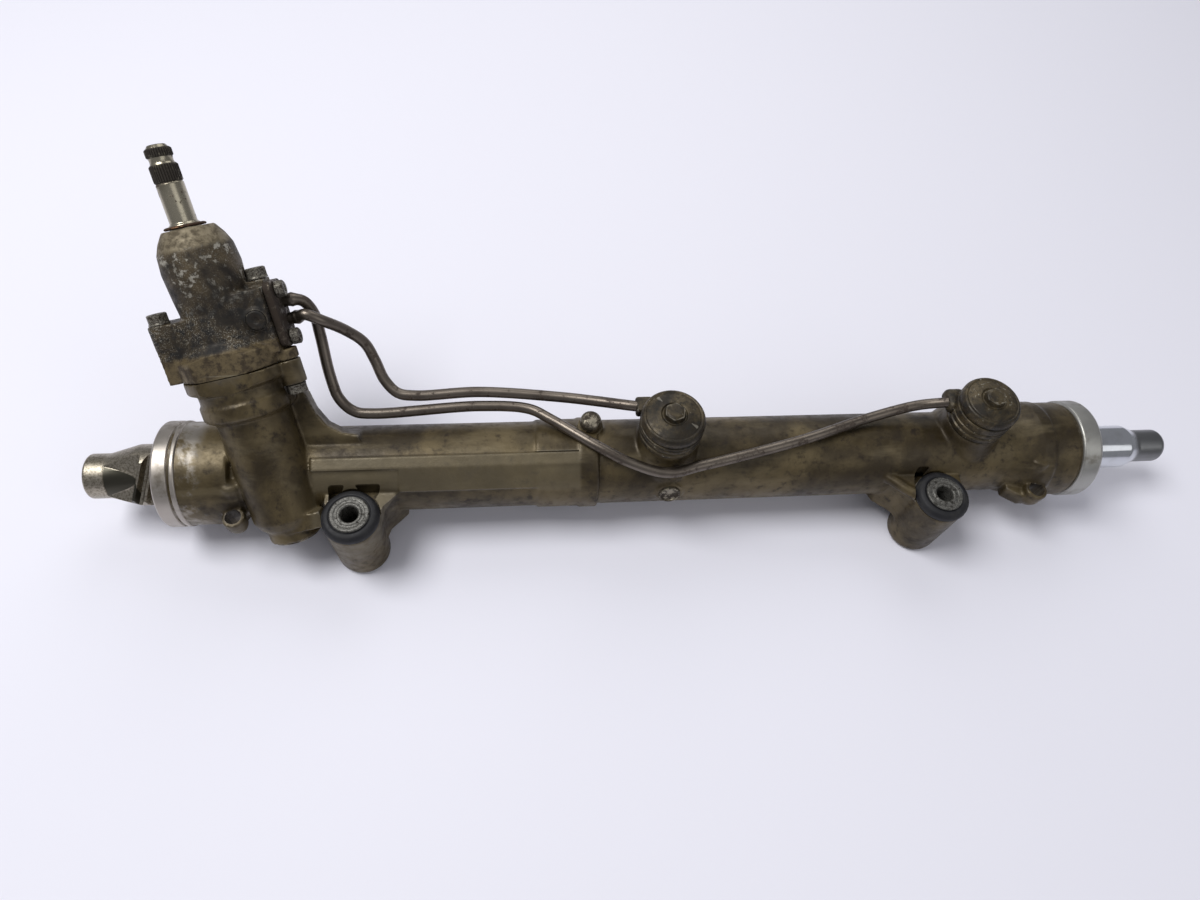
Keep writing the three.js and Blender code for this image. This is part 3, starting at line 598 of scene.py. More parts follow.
def oily_look():
    look = Look("oily_port_steel")
    broad = look.noise(55, 6, 0.65, distortion=0.5)
    mid = look.noise(330, 5, 0.7)
    base = look.mix(look.ramp(broad, 0.38, 0.64), (0.018, 0.013, 0.007), (0.08, 0.06, 0.03))
    color = look.mix(look.ramp(mid, 0.5, 0.66, 0, 0.8), base, (0.014, 0.013, 0.01))
    specks = look.ramp(look.noise(640, 2, 0.6), 0.62, 0.7)
    specks = look.math("MULTIPLY", specks, look.ramp(broad, 0.5, 0.62))
    color = look.mix(specks, color, (0.28, 0.26, 0.21))
    # Raised edges are lighter: edge wear together with a painted highlight along them.
    color = look.mix(look.math("MULTIPLY", look.worn(0.53, 0.6), 0.6), color, (0.24, 0.22, 0.18))
    normal = look.bump(mid, 0.6, 0.3, look.bump(broad, 0.3, 0.8))
    return look.done(color, look.ramp(mid, 0.3, 0.7, 0.34, 0.62), 0.45, normal)


def moulded_look(name, light, dark, roughness):
    look = Look(name)
    mid = look.noise(300, 4, 0.6)
    color = look.mix(look.ramp(mid, 0.4, 0.65), light, dark)
    rough = look.ramp(mid, 0.3, 0.7, roughness, roughness + 0.15)
    return look.done(color, rough, 0.0, look.bump(mid, 0.2, 0.1))


HOUSING = housing_look()
VALVE = valve_look()
# Each steel has its light, dark and rust colours, how much of it is rusty, and its roughness.
STEELS = {
    "pipe_steel": ((0.17, 0.145, 0.12), (0.11, 0.092, 0.076), (0.055, 0.04, 0.03), 0.03, 0.36),
    "shaft_steel": ((0.4, 0.365, 0.28), (0.25, 0.225, 0.165), (0.06, 0.045, 0.03), 0.05, 0.26),
    "spline_steel": ((0.2, 0.18, 0.14), (0.09, 0.08, 0.06), (0.03, 0.024, 0.018), 0.16, 0.4),
    "rusty_steel": ((0.13, 0.11, 0.085), (0.06, 0.05, 0.04), (0.03, 0.02, 0.013), 0.17, 0.45),
    "rust_ring": ((0.16, 0.09, 0.05), (0.09, 0.05, 0.03), (0.04, 0.02, 0.01), 0.18, 0.5),
    "plug_steel": ((0.3, 0.27, 0.21), (0.14, 0.12, 0.09), (0.04, 0.03, 0.02), 0.12, 0.38),
    "oiled_steel": ((0.5, 0.5, 0.49), (0.36, 0.36, 0.35), (0.1, 0.08, 0.06), -0.1, 0.25),
}
STEEL = {name: bare_steel_look(name, *values) for name, values in STEELS.items()}
RIM = machined_look("machined_rim", (0.4, 0.365, 0.325), 0.36)
END_RIM = machined_look("machined_end_rim", (0.37, 0.365, 0.34), 0.38)
CHROME = chrome_look()
RUBBER = rubber_look()
SEAL = moulded_look("seal_rubber", (0.012, 0.012, 0.013), (0.022, 0.021, 0.02), 0.35)
PTFE = moulded_look("seal_plastic", (0.66, 0.61, 0.5), (0.55, 0.5, 0.4), 0.4)
WASHER = speckled_look("speckled_washer", (0.075, 0.073, 0.066), (0.17, 0.165, 0.15), (0.03, 0.027, 0.022))
BOLT = speckled_look("speckled_bolt", (0.06, 0.052, 0.042), (0.22, 0.205, 0.17), (0.035, 0.026, 0.018))
OILY = oily_look()

# ------------------------------------------------------------------ rack housing


def housing_tube(body):
    profile = [
        (0, 3.6),
        (COLLAR_R - 1.4, 3.6),
        (COLLAR_R - 0.9, 5),
        (COLLAR_R - 0.6, 43),
        (COLLAR_R - 1.2, 44),
        (TUBE_R, 44.5),
        (TUBE_R, 221),
        (TUBE_R + 1.1, 222),
        (TUBE_R + 1.1, 247),
        (TUBE_R + 1.9, 248),
        (TUBE_R + 1.9, 258.6),
        (TUBE_R - 0.6, 259.2),
        (TUBE_R - 0.6, 260.4),
        (TUBE_R, 261),
        (TUBE_R, 526),
        (COLLAR_R - 1.8, 539),
        (COLLAR_R, 545),
        (COLLAR_R, 552),
        (COLLAR_R - 0.9, 553),
        (COLLAR_R - 0.9, 569.4),
        (COLLAR_R - 1.9, 570.2),
        (COLLAR_R - 1.9, 583.6),
        (0, 583.6),
    ]
    body.turned(profile, ALONG_X, 160)


EAR_WEBS = {
    "left": [(95, -14), (96.5, -26), (97.5, -39), (127.5, -42), (131, -32), (141, -22), (141, -14)],
    "right": [(441, -14), (445, -24), (456, -33), (461, -42), (489.5, -41), (491, -30), (492, -14)],
}
EAR_POCKETS = {
    "left": [[(98.5, -20), (99, -31), (109, -20)], [(113.5, -20), (125, -30), (129.5, -20)]],
    "right": [[(462, -20), (459, -31), (471, -20)]],
}


def ear(body, side):
    x, y = EARS[side]
    post = [(0, FLOOR_Z), (14.2, FLOOR_Z), (15.6, FLOOR_Z + 1.6), (16.2, FLOOR_Z + 4)]
    body.turned(post + [(16.4, EAR_TOP), (0, EAR_TOP)], at(x, y, 0), 64)
    body.prism(EAR_WEBS[side], -22, EAR_TOP + 2.5, UPRIGHT)


def lug(body, x, y, radius):
    """A small lug for an upright bolt, and the ridge that carries it up the collar."""
    boss = [(0, -8), (radius - 3, -8), (radius - 0.4, -2), (radius, LUG_TOP), (0, LUG_TOP)]
    body.turned(softened(boss, 0.8), at(x, y, 0), 48)
    ridge = [(0, -2), (radius, -2), (radius, 23), (0, 23)]
    body.turned(softened(ridge, 4), at(x, -24.6, 0) @ turn("X", math.radians(-17)), 48)


def port_boss(body, side):
    x, y = PORTS[side]
    profile = [(0, 5), (24.5, 5), (23.5, 16), (20.5, 23), (18.6, 28), (17.6, PORT_SEAT_Z)]
    body.turned(profile + [(0, PORT_SEAT_Z)], at(x, y, 0), 64)


def tower_base(body):
    top = JOINT_Z - 0.2
    profile = [(0, -34), (15, -34), (15.2, -27), (18, -24), (20.5, -19), (20.5, 43), (24.8, 45.6)]
    profile += [(25.6, 46.6), (25.6, 53.8), (24.3, 55), (24.3, 61), (28, 62.8), (28.6, 63.6)]
    body.turned(profile + [(28.6, top), (0, top)], TOWER, 96)
    gusset = [(8, -5), (8, -52), (29, -52), (30.5, -44), (32, -35), (36, -26), (43, -19.5)]
    body.prism(gusset + [(52, -16), (52, -5)], 4, 15, TOWER @ turn("X", -math.pi / 2))
    body.box((-1, 22), (-16, -6), (-28, -18), TOWER)
    for x, y in FLANGE_BOLTS:
        body.rod(6.8, FLANGE_FOOT_Z + 0.2, top, tower_at(x, y), 48)


def housing_body():
    body = Solid()
    housing_tube(body)
    tower_base(body)
    for side in EARS:
        ear(body, side)
        port_boss(body, side)
    for x, y, radius, _ in LUGS:
        lug(body, x, y, radius)
    body.rod(8, FLOOR_Z, -21, at(*REAR_FOOT, 0), 48)
    body.rod(17, 0, 37.8, YOKE, 64)
    web = [Vector(p) for p in ((441, -14, 9), (444, -23, 10.4), (453, -31.5, 11), (462, -39, 11))]
    body.swept(web, [3.6, 3.6, 3.6, 3.4])
    body.rod(8, 0, 27.9, TUBE_PLUG, 48)
    body.rod(8.5, 0, 27.6, STAKED_PLUG, 48)
    body.box(RIB_X, (0, TUBE_R + 1.5), (-RIB_HALF, RIB_HALF), turn("X", RIB_ANGLE))
    body.box((140, 221), (0, TUBE_R + 0.6), (-7, 7), turn("X", PANEL_ANGLE))
    return body.prism(LUG_WEDGE, -8, 3, UPRIGHT)


def ear_cuts(side):
    bolt_axis = at(*EARS[side], 0)
    cuts = [
        Solid().rod(BUSH_R, FLOOR_Z - 1, EAR_TOP + 1, bolt_axis),
        Solid().rod(17.4, EAR_TOP, EAR_TOP + 12, bolt_axis),
    ]
    for outline in EAR_POCKETS[side]:
        rounded = softened(outline, 2.5, closed=True)
        cuts.append(Solid().prism(rounded, EAR_TOP - 4, EAR_TOP + 10, UPRIGHT))
    return cuts


def rack_housing():
    piece = cast("rack_housing_casting", housing_body(), 0.9, 2)
    tools = [
        Solid().box(RIB_X, (26, 32), (-RIB_HALF - 0.9, -RIB_HALF), turn("X", RIB_ANGLE)),
        Solid().box((-40, 40), (-40, FLANGE_FRONT - 0.1), (58, JOINT_Z + 1), TOWER),
        Solid().turned(bar_bore(), ALONG_X, 128),
        Solid().turned(pinion_bore(), TOWER, 96),
        Solid().rod(14, 2, 28.5, YOKE),
        Solid().rod(15.2, 28.5, 40, YOKE),
    ]
    for x, y, _, hole in LUGS:
        tools.append(Solid().rod(hole, -20, LUG_TOP + 0.6, at(x, y, 0), 48))
    tools.append(Solid().rod(4.3, 24.5, 30, TUBE_PLUG, 48))
    tools.append(Solid().rod(6.8, 26.2, 30, STAKED_PLUG, 48))
    for side in EARS:
        tools += ear_cuts(side)
    for x, y in FLANGE_BOLTS:
        tools.append(Solid().rod(3.4, 55, 72, tower_at(x, y), 32))
        tools.append(Solid().rod(6.6, 43, FLANGE_FOOT_Z, tower_at(x, y), 48))
    return cut(piece, *tools)


def bar_bore():
    return [
        (0, -5),
        (24.2, -5),
        (24.2, 10),
        (BAR_BORE_R, 14),
        (BAR_BORE_R, CYLINDER_START),
        (CYLINDER_R, CYLINDER_START),
        (CYLINDER_R, HOUSING_END + 5),
        (0, HOUSING_END + 5),
    ]


def pinion_bore():
    profile = [(0, -40), (13.3, -40), (13.3, -29.2), (12.3, -29.2), (12.3, 32), (16.8, 32)]
    return profile + [(16.8, JOINT_Z + 1), (0, JOINT_Z + 1)]


def rims():
    """The turned bands at the housing's two ends."""
    left = [(24.1, RIM_X), (30.9, RIM_X), (32, 3.6), (32, 11.2), (30.9, 11.7), (30.9, 12.7), (32, 13.2)]
    left += [(32, 15.2), (31.2, 15.9), (29, 16), (24.1, 12.5)]
    inner = CYLINDER_R + 0.05
    end = HOUSING_END - 0.1
    right = [(inner, 571), (30, 571), (31.2, 571.3), (32, 572.2), (32, 582.6), (30.8, 584.4)]
    right += [(29.6, end), (inner, end)]
    for name, profile, look in (("rim_left", left, RIM), ("rim_right", right, END_RIM)):
        piece = Solid().turned(softened(profile, 0.5, closed=True), ALONG_X, 192).made(name)
        finished(piece, look, "housing", "end_aluminium")


# ------------------------------------------------------------------ valve housing


def valve_body(base):
    body = Solid()
    flange = [(0, base), (28, base), (28.5, base + 0.6), (28.5, 80.4), (28, 81.1), (25, 82.6), (20.2, 88)]
    body.turned(flange + [(19, 103), (0, 103)], TOWER, 96)
    upper = [(0, 86), (18.8, 86), (18.8, 104), (19.6, 113), (20.4, 127), (19.4, 136.5), (18.4, 138.8)]
    upper += [(17, 142), (13.6, CAP_TOP - 0.4), (13, CAP_TOP), (0, CAP_TOP)]
    body.turned(upper, tower_at(1, 0), 96)
    for x, y in FLANGE_BOLTS:
        body.rod(6.8, base, EAR_Z, tower_at(x, y), 48)
    block = [(BLOCK_FACE, -13), (-5, -15.5), (-5, 12), (BLOCK_FACE, 12)]
    body.prism(block, base, BLOCK_TOP, TOWER)
    port_block = [(5, -15), (PORT_FACE, -13), (PORT_FACE, 14), (5, 14)]
    body.prism(port_block, EAR_Z, PORT_BLOCK_TOP, TOWER)
    body.box((18.5, PORT_FACE), (-2.6, 11.4), (108, PAD_TOP - 0.1), TOWER)
    body.rod(6.4, -14, 0.8, DISC_PLUG, 48)
    return body.rod(6.4, 90, BLOCK_TOP + 0.2, tower_at(*SIDE_BOLT[:2]), 48)


def valve_housing():
    base = JOINT_Z + GAP
    piece = cast("valve_housing_casting", valve_body(base), 0.7, 3)
    bore = [(0, 60), (16.6, 60), (16.6, 137), (12, 137), (12, 146.4), (9.5, 146.4), (9.5, 155), (0, 155)]
    tools = [
        Solid().turned(bore, TOWER),
        Solid().rod(5.5, -4, 3, DISC_PLUG, 48),
        Solid().rod(6.9, PAD_TOP, 123, tower_at(*TOP_BOLT[:2]), 48),
        Solid().box((-40, 40), (-40, FLANGE_FRONT - 0.1), (base - 1, 86), TOWER),
    ]
    for y, z in PIPE_PORTS.values():
        tools.append(Solid().rod(PIPE_R + 0.4, 15, 40, tower_at(0, y, z) @ ALONG_X, 48))
    for z in LINE_PORTS:
        outward = tower_at(0, 0, z) @ turn("Y", -math.pi / 2)
        tools.append(Solid().rod(6.5, 22, 40, outward, 64))
        tools.append(Solid().rod(3, 14, 24, outward, 32))
    return cut(piece, *tools)


def pipe_plate():
    low, high = -112.8, -76.7
    corners = [(low, -9.8), (high, -9.8), (high, 12.8), (low, 12.8)]
    outline = softened(corners, 5, closed=True, steps=6)
    place = tower_at(PORT_FACE + GAP, 0) @ ALONG_X
    plate = Solid().prism(outline, 0, 4.2, place).made("pipe_plate_worn")
    bevelled(plate, 0.6, 3)
    tools = []
    for y, z in PIPE_PORTS.values():
        tools.append(Solid().rod(PIPE_R + 0.2, 20, 40, tower_at(0, y, z) @ ALONG_X, 48))
    cut(plate, *tools)
    return finished(plate, STEEL["rusty_steel"], "housing", "rusty_steel", "pipe_plate")


def bolt(name, place, across, head, shank_r, shank, node):
    """A flanged hexagon bolt, screwed into a face at its place's zero."""
    place = TOWER @ place
    flange = across * 0.56
    top = [(0, GAP), (flange, GAP), (flange, 1.1), (across * 0.5, 1.9), (0, 1.9)]
    crown = [(0, 0.5), (across * 0.6, 0.5), (across * 0.6, head - 0.9), (across * 0.46, head), (0, head)]
    core = Solid().prism(hexagon(across, 0.5), 0.6, head + 1, place).made(name)
    combine(core, [Solid().turned(softened(crown, 0.3), place, 64)], "INTERSECT")
    combine(core, [Solid().turned(softened(top, 0.25), place, 64)], "UNION")
    combine(core, [Solid().rod(shank_r, -shank, 1, place, 32)], "UNION")
    cup = [(0, head - 0.6), (across * 0.24, head - 0.6), (across * 0.3, head + 1), (0, head + 1)]
    cut(core, Solid().turned(cup, place, 48))
    return finished(core, BOLT, "housing", "rusty_steel", node)


def bolts():
    for i, z in enumerate(PLATE_BOLTS):
        place = at(PORT_FACE + PLATE_THICKNESS, PLATE_BOLT_Y, z) @ ALONG_X
        bolt(f"plate_bolt_{i + 1}", place, 8, 5, 2.4, 11, f"pipe_plate_bolt_{i + 1}")
    for i, (x, y) in enumerate(FLANGE_BOLTS):
        place = at(x, y, FLANGE_FOOT_Z) @ turn("X", math.pi)
        bolt(f"flange_screw_{i + 1}", place, 10, 5.6, 3, 19, f"flange_bolt_{i + 1}")
    bolt("side_block_screw", at(*SIDE_BOLT), 9.8, 6.3, 2.5, 16, "side_block_bolt")
    bolt("top_screw", at(*TOP_BOLT), 10.4, 6.4, 2, 7.5, "top_bolt")


# ------------------------------------------------------------------ shaft, bar and small parts


def splined(radius, depth, count):
    """The outline of a splined shaft."""
    points = []
    for i in range(count):
        for share, r in ((0, radius - depth), (0.22, radius - depth), (0.42, radius), (0.78, radius)):
            a = 2 * math.pi * (i + share) / count
            points.append((r * math.cos(a), r * math.sin(a)))
    return points


SPLINES = {
    "splines_lower": (7.15, 170.8, 179.8),
    "splines_upper": (6.65, 183.2, 187.8),
}


def input_shaft():
    lower = [(7.8, 67), (7.8, 76.5), (10, 76.5), (10, 123), (8, 125), (8, 149.6), (6.9, 150.6)]
    upper = [(6.9, 170.2), (6.4, 170.9), (6.4, 179.6), (5.8, 180.8), (5.8, 182.3), (6, 183.4)]
    tip = [(6, 187.2), (4.4, INPUT_END), (0, INPUT_END)]
    profile = [(0, 67)] + lower + upper + tip
    piece = Solid().turned(softened(profile, 0.4), TOWER).made("input_shaft_ground")
    cut(piece, Solid().rod(3.2, 60, 176, TOWER, 48))
    finished(piece, STEEL["shaft_steel"], "input", "shaft_steel", "input_shaft")
    for name, (radius, low, high) in SPLINES.items():
        teeth = Solid().prism(splined(radius, 0.55, 34), low, high, TOWER).made(name)
        cone = [(0, low - 1), (radius - 0.7, low), (radius + 0.2, low + 0.9), (radius + 0.2, high - 0.9)]
        cone += [(radius - 0.7, high), (0, high + 1)]
        combine(teeth, [Solid().turned(cone, TOWER, 64)], "INTERSECT")
        finished(teeth, STEEL["spline_steel"], "input", "shaft_steel")


def rack_bar():
    profile = [(0, BAR_START), (NECK_R - 1.1, BAR_START), (NECK_R, BAR_START + 1.2), (NECK_R, NECK_END)]
    profile += [(BAR_R, -14), (BAR_R, ROD_START - 3), (ROD_R, ROD_START), (ROD_R, 619), (TIP_R, 627)]
    profile += [(TIP_R, BAR_END - 3), (TIP_R - 2.2, BAR_END), (0, BAR_END)]
    piece = Solid().turned(softened(profile, 1.2), ALONG_X, 144).made("rack_bar_fine")
    last = TOOTH_START + (TOOTH_COUNT + 0.5) * RACK_PITCH
    flats = [
        Solid().box((TOOTH_START - 5, last), (-30, -TIP_Y), (-20, 20), TOOTH_FACE),
        Solid().box((NECK_END, TOOTH_START - 3), (-30, -ROOT_Y), (-20, 20), TOOTH_FACE),
        Solid().box((-9, 0), (-30, -ROOT_Y), (-20, 20), tooth_place(0)),
    ]
    cut(piece, *flats, *tooth_spaces())
    inner = NECK_R - 0.2
    bullet = [(0, NECK_END - 1), (inner, NECK_END - 1), (inner, NECK_END), (ROOT_Y, -13), (0, -13)]
    combine(piece, [Solid().turned(softened(bullet, 0.8), ALONG_X, 144)], "UNION")
    cut(piece, Solid().rod(SOCKET_R, BAR_START - 1, BAR_START + SOCKET_DEPTH, ALONG_X, 64))
    cut(piece, Solid().rod(SOCKET_R, BAR_END - SOCKET_DEPTH, BAR_END + 1, ALONG_X, 64))
    return finished(piece, CHROME, "rack", "rod_chrome", "rack_bar")


def tooth_place(index):
    return TOOTH_FACE @ at(TOOTH_START + index * RACK_PITCH, 0, 0) @ turn("Y", TOOTH_SLANT)


def tooth_spaces():
    depth = TIP_Y + 1 - ROOT_Y
    slope = math.tan(math.radians(20))
    at_root = NORMAL_PITCH / 4 + 0.25 - (PITCH_Y - ROOT_Y) * slope
    at_top = at_root + depth * slope
    top = -ROOT_Y - depth
    corners = [(-at_root, -ROOT_Y), (-at_top, top), (at_top, top), (at_root, -ROOT_Y)]
    outline = softened(corners, 0.5, closed=True, steps=2)
    return [Solid().prism(outline, -18, 18, tooth_place(i)) for i in range(TOOTH_COUNT)]


def bushings():
    foot = FLOOR_Z + 0.3
    seat = EAR_TOP + GAP
    top = EAR_TOP + 7.6
    rubber = [(8.2, foot), (12.8, foot), (12.8, seat), (16, seat), (16.8, EAR_TOP + 1.8)]
    rubber += [(16.6, EAR_TOP + 4.2), (14.9, EAR_TOP + 6.3), (12.6, EAR_TOP + 6.9)]
    rubber += [(11.8, EAR_TOP + 6.2), (8.2, EAR_TOP + 6)]
    sleeve = [(5.2, foot), (8, foot), (8, EAR_TOP + 6.3), (11.3, EAR_TOP + 6.3), (11.5, top - 0.8)]
    sleeve += [(10.9, top), (9.2, top - 0.1), (8.7, top - 0.5), (7.4, top - 0.5), (6.9, top)]
    sleeve += [(5.9, top), (5.2, top - 0.7)]
    for side, (x, y) in EARS.items():
        place = at(x, y, 0)
        piece = Solid().turned(softened(rubber, 1, closed=True), place).made("rubber_bush_" + side)
        finished(piece, RUBBER, "housing", "bushing_rubber", "bushing_rubber_" + side)
        piece = Solid().turned(softened(sleeve, 0.3, closed=True), place).made("steel_sleeve_" + side)
        finished(piece, WASHER, "housing", "sleeve_steel", "bushing_sleeve_" + side)


ARMS = {
    "left": ((281.6, 292), (8.5, 19), (38.5, 46.4), 1.6),
    "right": ((478.6, 492), (5.5, 21), (37, 46.4), 3.8),
}


def union_profile(radius, seam):
    seat = PORT_SEAT_Z + GAP
    waist = radius - 1.3
    groove = radius - 0.8
    profile = [(0, seat), (radius - 1.6, seat), (radius - 0.2, seat + 1.2), (radius - 0.1, 38.6)]
    profile += [(waist, 39.3), (waist, 40.3), (radius, 41), (radius, 43.4), (groove, 43.9)]
    profile += [(groove, 44.6), (radius, 45.1), (radius, seam - 0.4), (groove, seam), (0, seam)]
    return softened(profile, 0.35)


def cap_profile(radius, seam, edge):
    foot = seam + GAP
    profile = [(0, foot), (radius - 1.6, foot), (radius - 0.4, seam + 0.9), (radius, seam + 2.6)]
    profile += [(radius - 0.2, edge - 2.3), (radius - 1.2, edge - 0.4), (radius - 2.3, edge + 0.2)]
    profile += [(radius - 3.1, edge - 0.3), (radius - 3.9, edge + 0.2), (10.8, edge + 1.3)]
    profile += [(8, edge + 1.9), (7.5, edge + 1.1), (6.6, edge + 1), (6.1, edge + 2)]
    profile += [(5.7, edge + 4.2), (4, edge + 5), (0, edge + 5.1)]
    return softened(profile, 0.5)


def port_pieces():
    for side, (x, y) in PORTS.items():
        place = at(x, y, 0)
        radius, seam, edge = STACKS[side]
        *arm_box, arm_edge = ARMS[side]
        piece = Solid().box(*arm_box, UPRIGHT).made("arm")
        bevelled(piece, arm_edge, 5)
        combine(piece, [Solid().turned(union_profile(radius, seam), place, 128)], "UNION")
        piece.name = "port_union_" + side
        finished(piece, OILY, "housing", "port_steel", "port_fitting_" + side)
        piece = Solid().turned(cap_profile(radius, seam, edge), place, 128).made("port_dome_" + side)
        nub = Solid().prism(hexagon(11, 1), edge + 0.5, edge + 4.6, place @ turn("Z", 0.3))
        combine(piece, [nub], "UNION")
        finished(piece, OILY, "housing", "port_steel", "port_cap_" + side)


PIPES = {
    "short": [
        (94.5, 53.4, 83.6),
        (102, 52.3, 80),
        (113, 54.6, 67.6),
        (122, 53.9, 56),
        (126.8, 48, 47),
        (132, 38.2, 40),
        (139.6, 31.4, 36),
        (150, 29.9, 35),
        (188, 31.6, 35),
        (237, 26.7, 35),
        (261, 21.2, 37.5),
        (276, 15.5, 42),
        (283.5, 13.6, 43),
    ],
    "long": [
        (92.5, 62.3, 84.6),
        (97, 59.6, 77),
        (98.8, 52.6, 66),
        (101.8, 37, 48),
        (106, 27, 37.5),
        (114, 21.5, 32),
        (125, 20.3, 31),
        (188, 24, 31),
        (218, 21.1, 31),
        (231, 13.2, 31),
        (259, -7, 31),
        (277, -16.6, 28.2),
        (299, -23.4, 26.6),
        (321, -19.6, 27.2),
        (385, -6.2, 31.5),
        (432, 8.6, 31.6),
        (463, 13.9, 36.5),
        (480, 11.8, 42.8),
    ],
}


BEAD_START = 7
BEAD = (0.35, 0.8, 0.35)


def smooth_route(points, step=1.6):
    """A centripetal Catmull-Rom curve through the points, in steps of about that many millimetres."""
    ends = [points[0] * 2 - points[1], *points, points[-1] * 2 - points[-2]]
    route = [points[0]]
    for p0, p1, p2, p3 in zip(ends, ends[1:], ends[2:], ends[3:]):
        t1 = math.sqrt((p1 - p0).length)
        t2 = t1 + math.sqrt((p2 - p1).length)
        t3 = t2 + math.sqrt((p3 - p2).length)
        count = max(2, round((p2 - p1).length / step))
        for i in range(1, count + 1):
            t = t1 + (t2 - t1) * i / count
            a1 = p0 * ((t1 - t) / t1) + p1 * (t / t1)
            a2 = p1 * ((t2 - t) / (t2 - t1)) + p2 * ((t - t1) / (t2 - t1))
            a3 = p2 * ((t3 - t) / (t3 - t2)) + p3 * ((t - t2) / (t3 - t2))
            b1 = a1 * ((t2 - t) / t2) + a2 * (t / t2)
            b2 = a2 * ((t3 - t) / (t3 - t1)) + a3 * ((t - t1) / (t3 - t1))
            route.append(b1 * ((t2 - t) / (t2 - t1)) + b2 * ((t - t1) / (t2 - t1)))
    return route


def pipes():
    for name, points in PIPES.items():
        y, z = PIPE_PORTS[name]
        start = [TOWER @ Vector((x, y, z)) for x in (26, 34, 39)]
        route = smooth_route(start + [Vector(p) for p in points])
        radii = [PIPE_R] * len(route)
        for i, extra in enumerate(BEAD, BEAD_START):
            radii[i] += extra
        piece = Solid().swept(route, radii, 28).made("steel_pipe_" + name)
        finished(piece, STEEL["pipe_steel"], "housing", "pipe_steel", "pipe_" + name, angle=60)


def socket_plug(name, node, place, low, high, radius, across):
    """A round plug with a hexagon socket in its outer face."""
    profile = [(0, low), (radius, low), (radius, high), (0, high)]
    piece = Solid().turned(softened(profile, 0.8), place).made(name)
    cut(piece, Solid().prism(hexagon(across), high - 4, high + 2, place))
    finished(piece, STEEL["plug_steel"], "housing", "sleeve_steel", node)


def small_parts():
    disc = [(0, -2.5), (5.3, -2.5), (5.3, 1), (4.6, 1.5), (2, 1.3), (1.4, 0.9), (0, 0.8)]
    piece = Solid().turned(softened(disc, 0.3), DISC_PLUG, 64).made("disc_plug")
    finished(piece, VALVE, "housing", "valve_housing_aluminium", "front_disc_plug")
    plug = [(0, 25), (4, 25), (4, 28.2), (5.8, 28.2), (6.5, 29), (6.5, 33), (5.9, 34.6)]
    plug += [(4.4, 35.7), (2, 36), (0, 36)]
    piece = Solid().turned(softened(plug, 0.6), TUBE_PLUG, 64).made("tube_plug_round")
    finished(piece, STEEL["plug_steel"], "housing", "sleeve_steel", "tube_plug")
    staked = [(0, 26.6), (6.6, 26.6), (6.6, 28.9), (6.1, 29.3), (5.4, 29), (5, 28.2), (0, 28)]
    piece = Solid().turned(softened(staked, 0.25), STAKED_PLUG, 64).made("staked_disc")
    finished(piece, STEEL["plug_steel"], "housing", "sleeve_steel", "staked_plug")
    dust = [(8.3, 147.9), (10.2, 147.9), (10.8, 148.4), (10.3, 149.2), (9, 149.5), (8.3, 149.3)]
    piece = Solid().turned(softened(dust, 0.3, closed=True), TOWER, 96).made("dust_ring_rusty")
    finished(piece, STEEL["rust_ring"], "housing", "rusty_steel", "input_dust_ring")
    gland = [(14.9, 570), (21.8, 570), (21.8, 583.6), (20.8, 584.2), (17.4, 584), (16, 583), (14.9, 582)]
    piece = Solid().turned(softened(gland, 0.4, closed=True), ALONG_X, 128).made("end_gland_turned")
    finished(piece, END_RIM, "housing", "end_aluminium", "end_gland")
    socket_plug("yoke_adjuster", "yoke_plug", YOKE, 29.2, 36.6, 14.9, 17)
    below = TOWER @ turn("X", math.pi)
    socket_plug("pinion_plug", "pinion_end_plug", below, 29.5, 35.5, 13, 12)


# ------------------------------------------------------------------ the scene


def hidden_nodes():
    looks = {"hidden_steel": STEEL["oiled_steel"], "seal_rubber": SEAL, "seal_plastic": PTFE}
    slots = {part["node"]: part["material_slot"] for part in frame["record"]["subparts"]}
    for name, node in frame["nodes"].items():
        if slots[name] in looks:
            node.data.materials.clear()
            node.data.materials.append(looks[slots[name]])


def floor_look():
    look = Look("studio_floor")
    cloud = look.noise(1.5, 2, 0.5)
    color = look.mix(cloud, (0.79, 0.785, 0.86), (0.81, 0.805, 0.88))
    return look.done(color, 0.7, 0.0, specular=0.2)


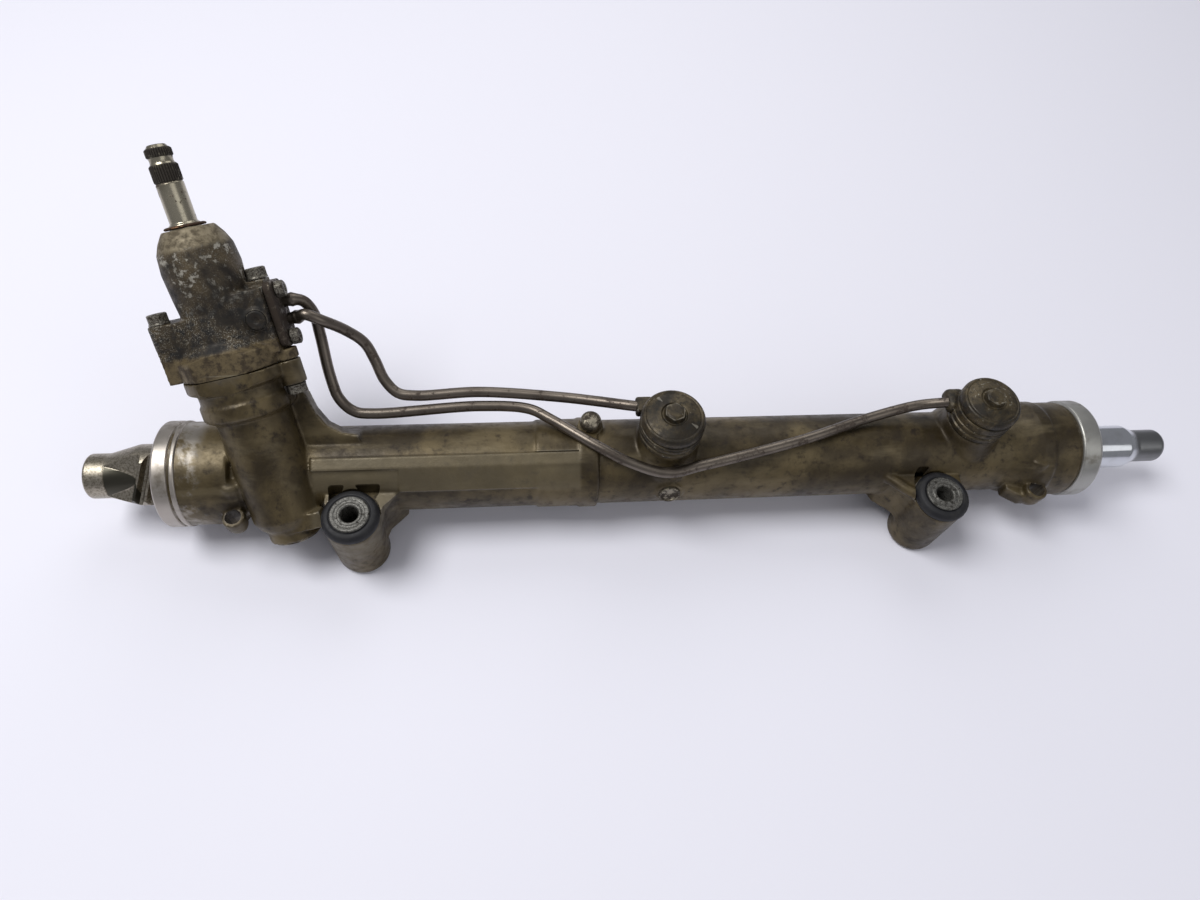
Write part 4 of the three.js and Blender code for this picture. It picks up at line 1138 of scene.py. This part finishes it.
def studio():
    low, high = cad_box
    centre = (Vector(low) + Vector(high)) / 2
    mesh = bpy.data.meshes.new("studio_floor")
    reach = 6
    corners = [(-reach, -reach), (reach, -reach), (reach, reach), (-reach, reach)]
    mesh.from_pydata([(x, y, low[2] - 0.0003) for x, y in corners], [], [(0, 1, 2, 3)])
    floor = bpy.data.objects.new("studio_floor", mesh)
    bpy.context.scene.collection.objects.link(floor)
    mesh.materials.append(floor_look())
    world = bpy.data.worlds.new("studio")
    bpy.context.scene.world = world
    world.use_nodes = True
    world.node_tree.nodes["Background"].inputs["Color"].default_value = (0.93, 0.94, 1, 1)
    world.node_tree.nodes["Background"].inputs["Strength"].default_value = 0.28
    for name, spot, size, power in (
        ("key", (-0.8, 0.1, 1.5), 0.8, 22),
        ("fill", (0.9, -0.9, 1.1), 1.2, 4),
        ("back", (0.3, 1.3, 1.2), 1.2, 8),
    ):
        data = bpy.data.lights.new(name, "AREA")
        data.size = size
        data.energy = power
        lamp = bpy.data.objects.new(name, data)
        lamp.location = centre + Vector(spot)
        lamp.rotation_euler = (centre - lamp.location).to_track_quat("-Z", "Y").to_euler()
        bpy.context.scene.collection.objects.link(lamp)


def camera():
    """Looks down on the rack from the front left, with a 24 mm lens."""
    data = bpy.data.cameras.new("camera")
    data.sensor_width = 36
    data.lens = 24
    data.clip_start = 0.01
    eye = bpy.data.objects.new("camera", data)
    right = Vector((0.99399, -0.0759, 0.07893))
    down = Vector((-0.02767, -0.87151, -0.4896))
    ahead = Vector((0.10595, 0.48448, -0.86837))
    turned = Matrix((right, -down, -ahead)).transposed().to_4x4()
    eye.matrix_world = Matrix.Translation(ZERO + Vector((0.20848, -0.24117, 0.4471))) @ turned
    bpy.context.scene.collection.objects.link(eye)
    bpy.context.scene.camera = eye


finished(rack_housing(), HOUSING, "housing", "housing_aluminium", "rack_housing")
rims()
finished(valve_housing(), VALVE, "housing", "valve_housing_aluminium", "valve_housing")
pipe_plate()
bolts()
input_shaft()
rack_bar()
bushings()
port_pieces()
pipes()
small_parts()
hidden_nodes()
studio()
camera()
bpy.context.scene.view_settings.view_transform = "Standard"
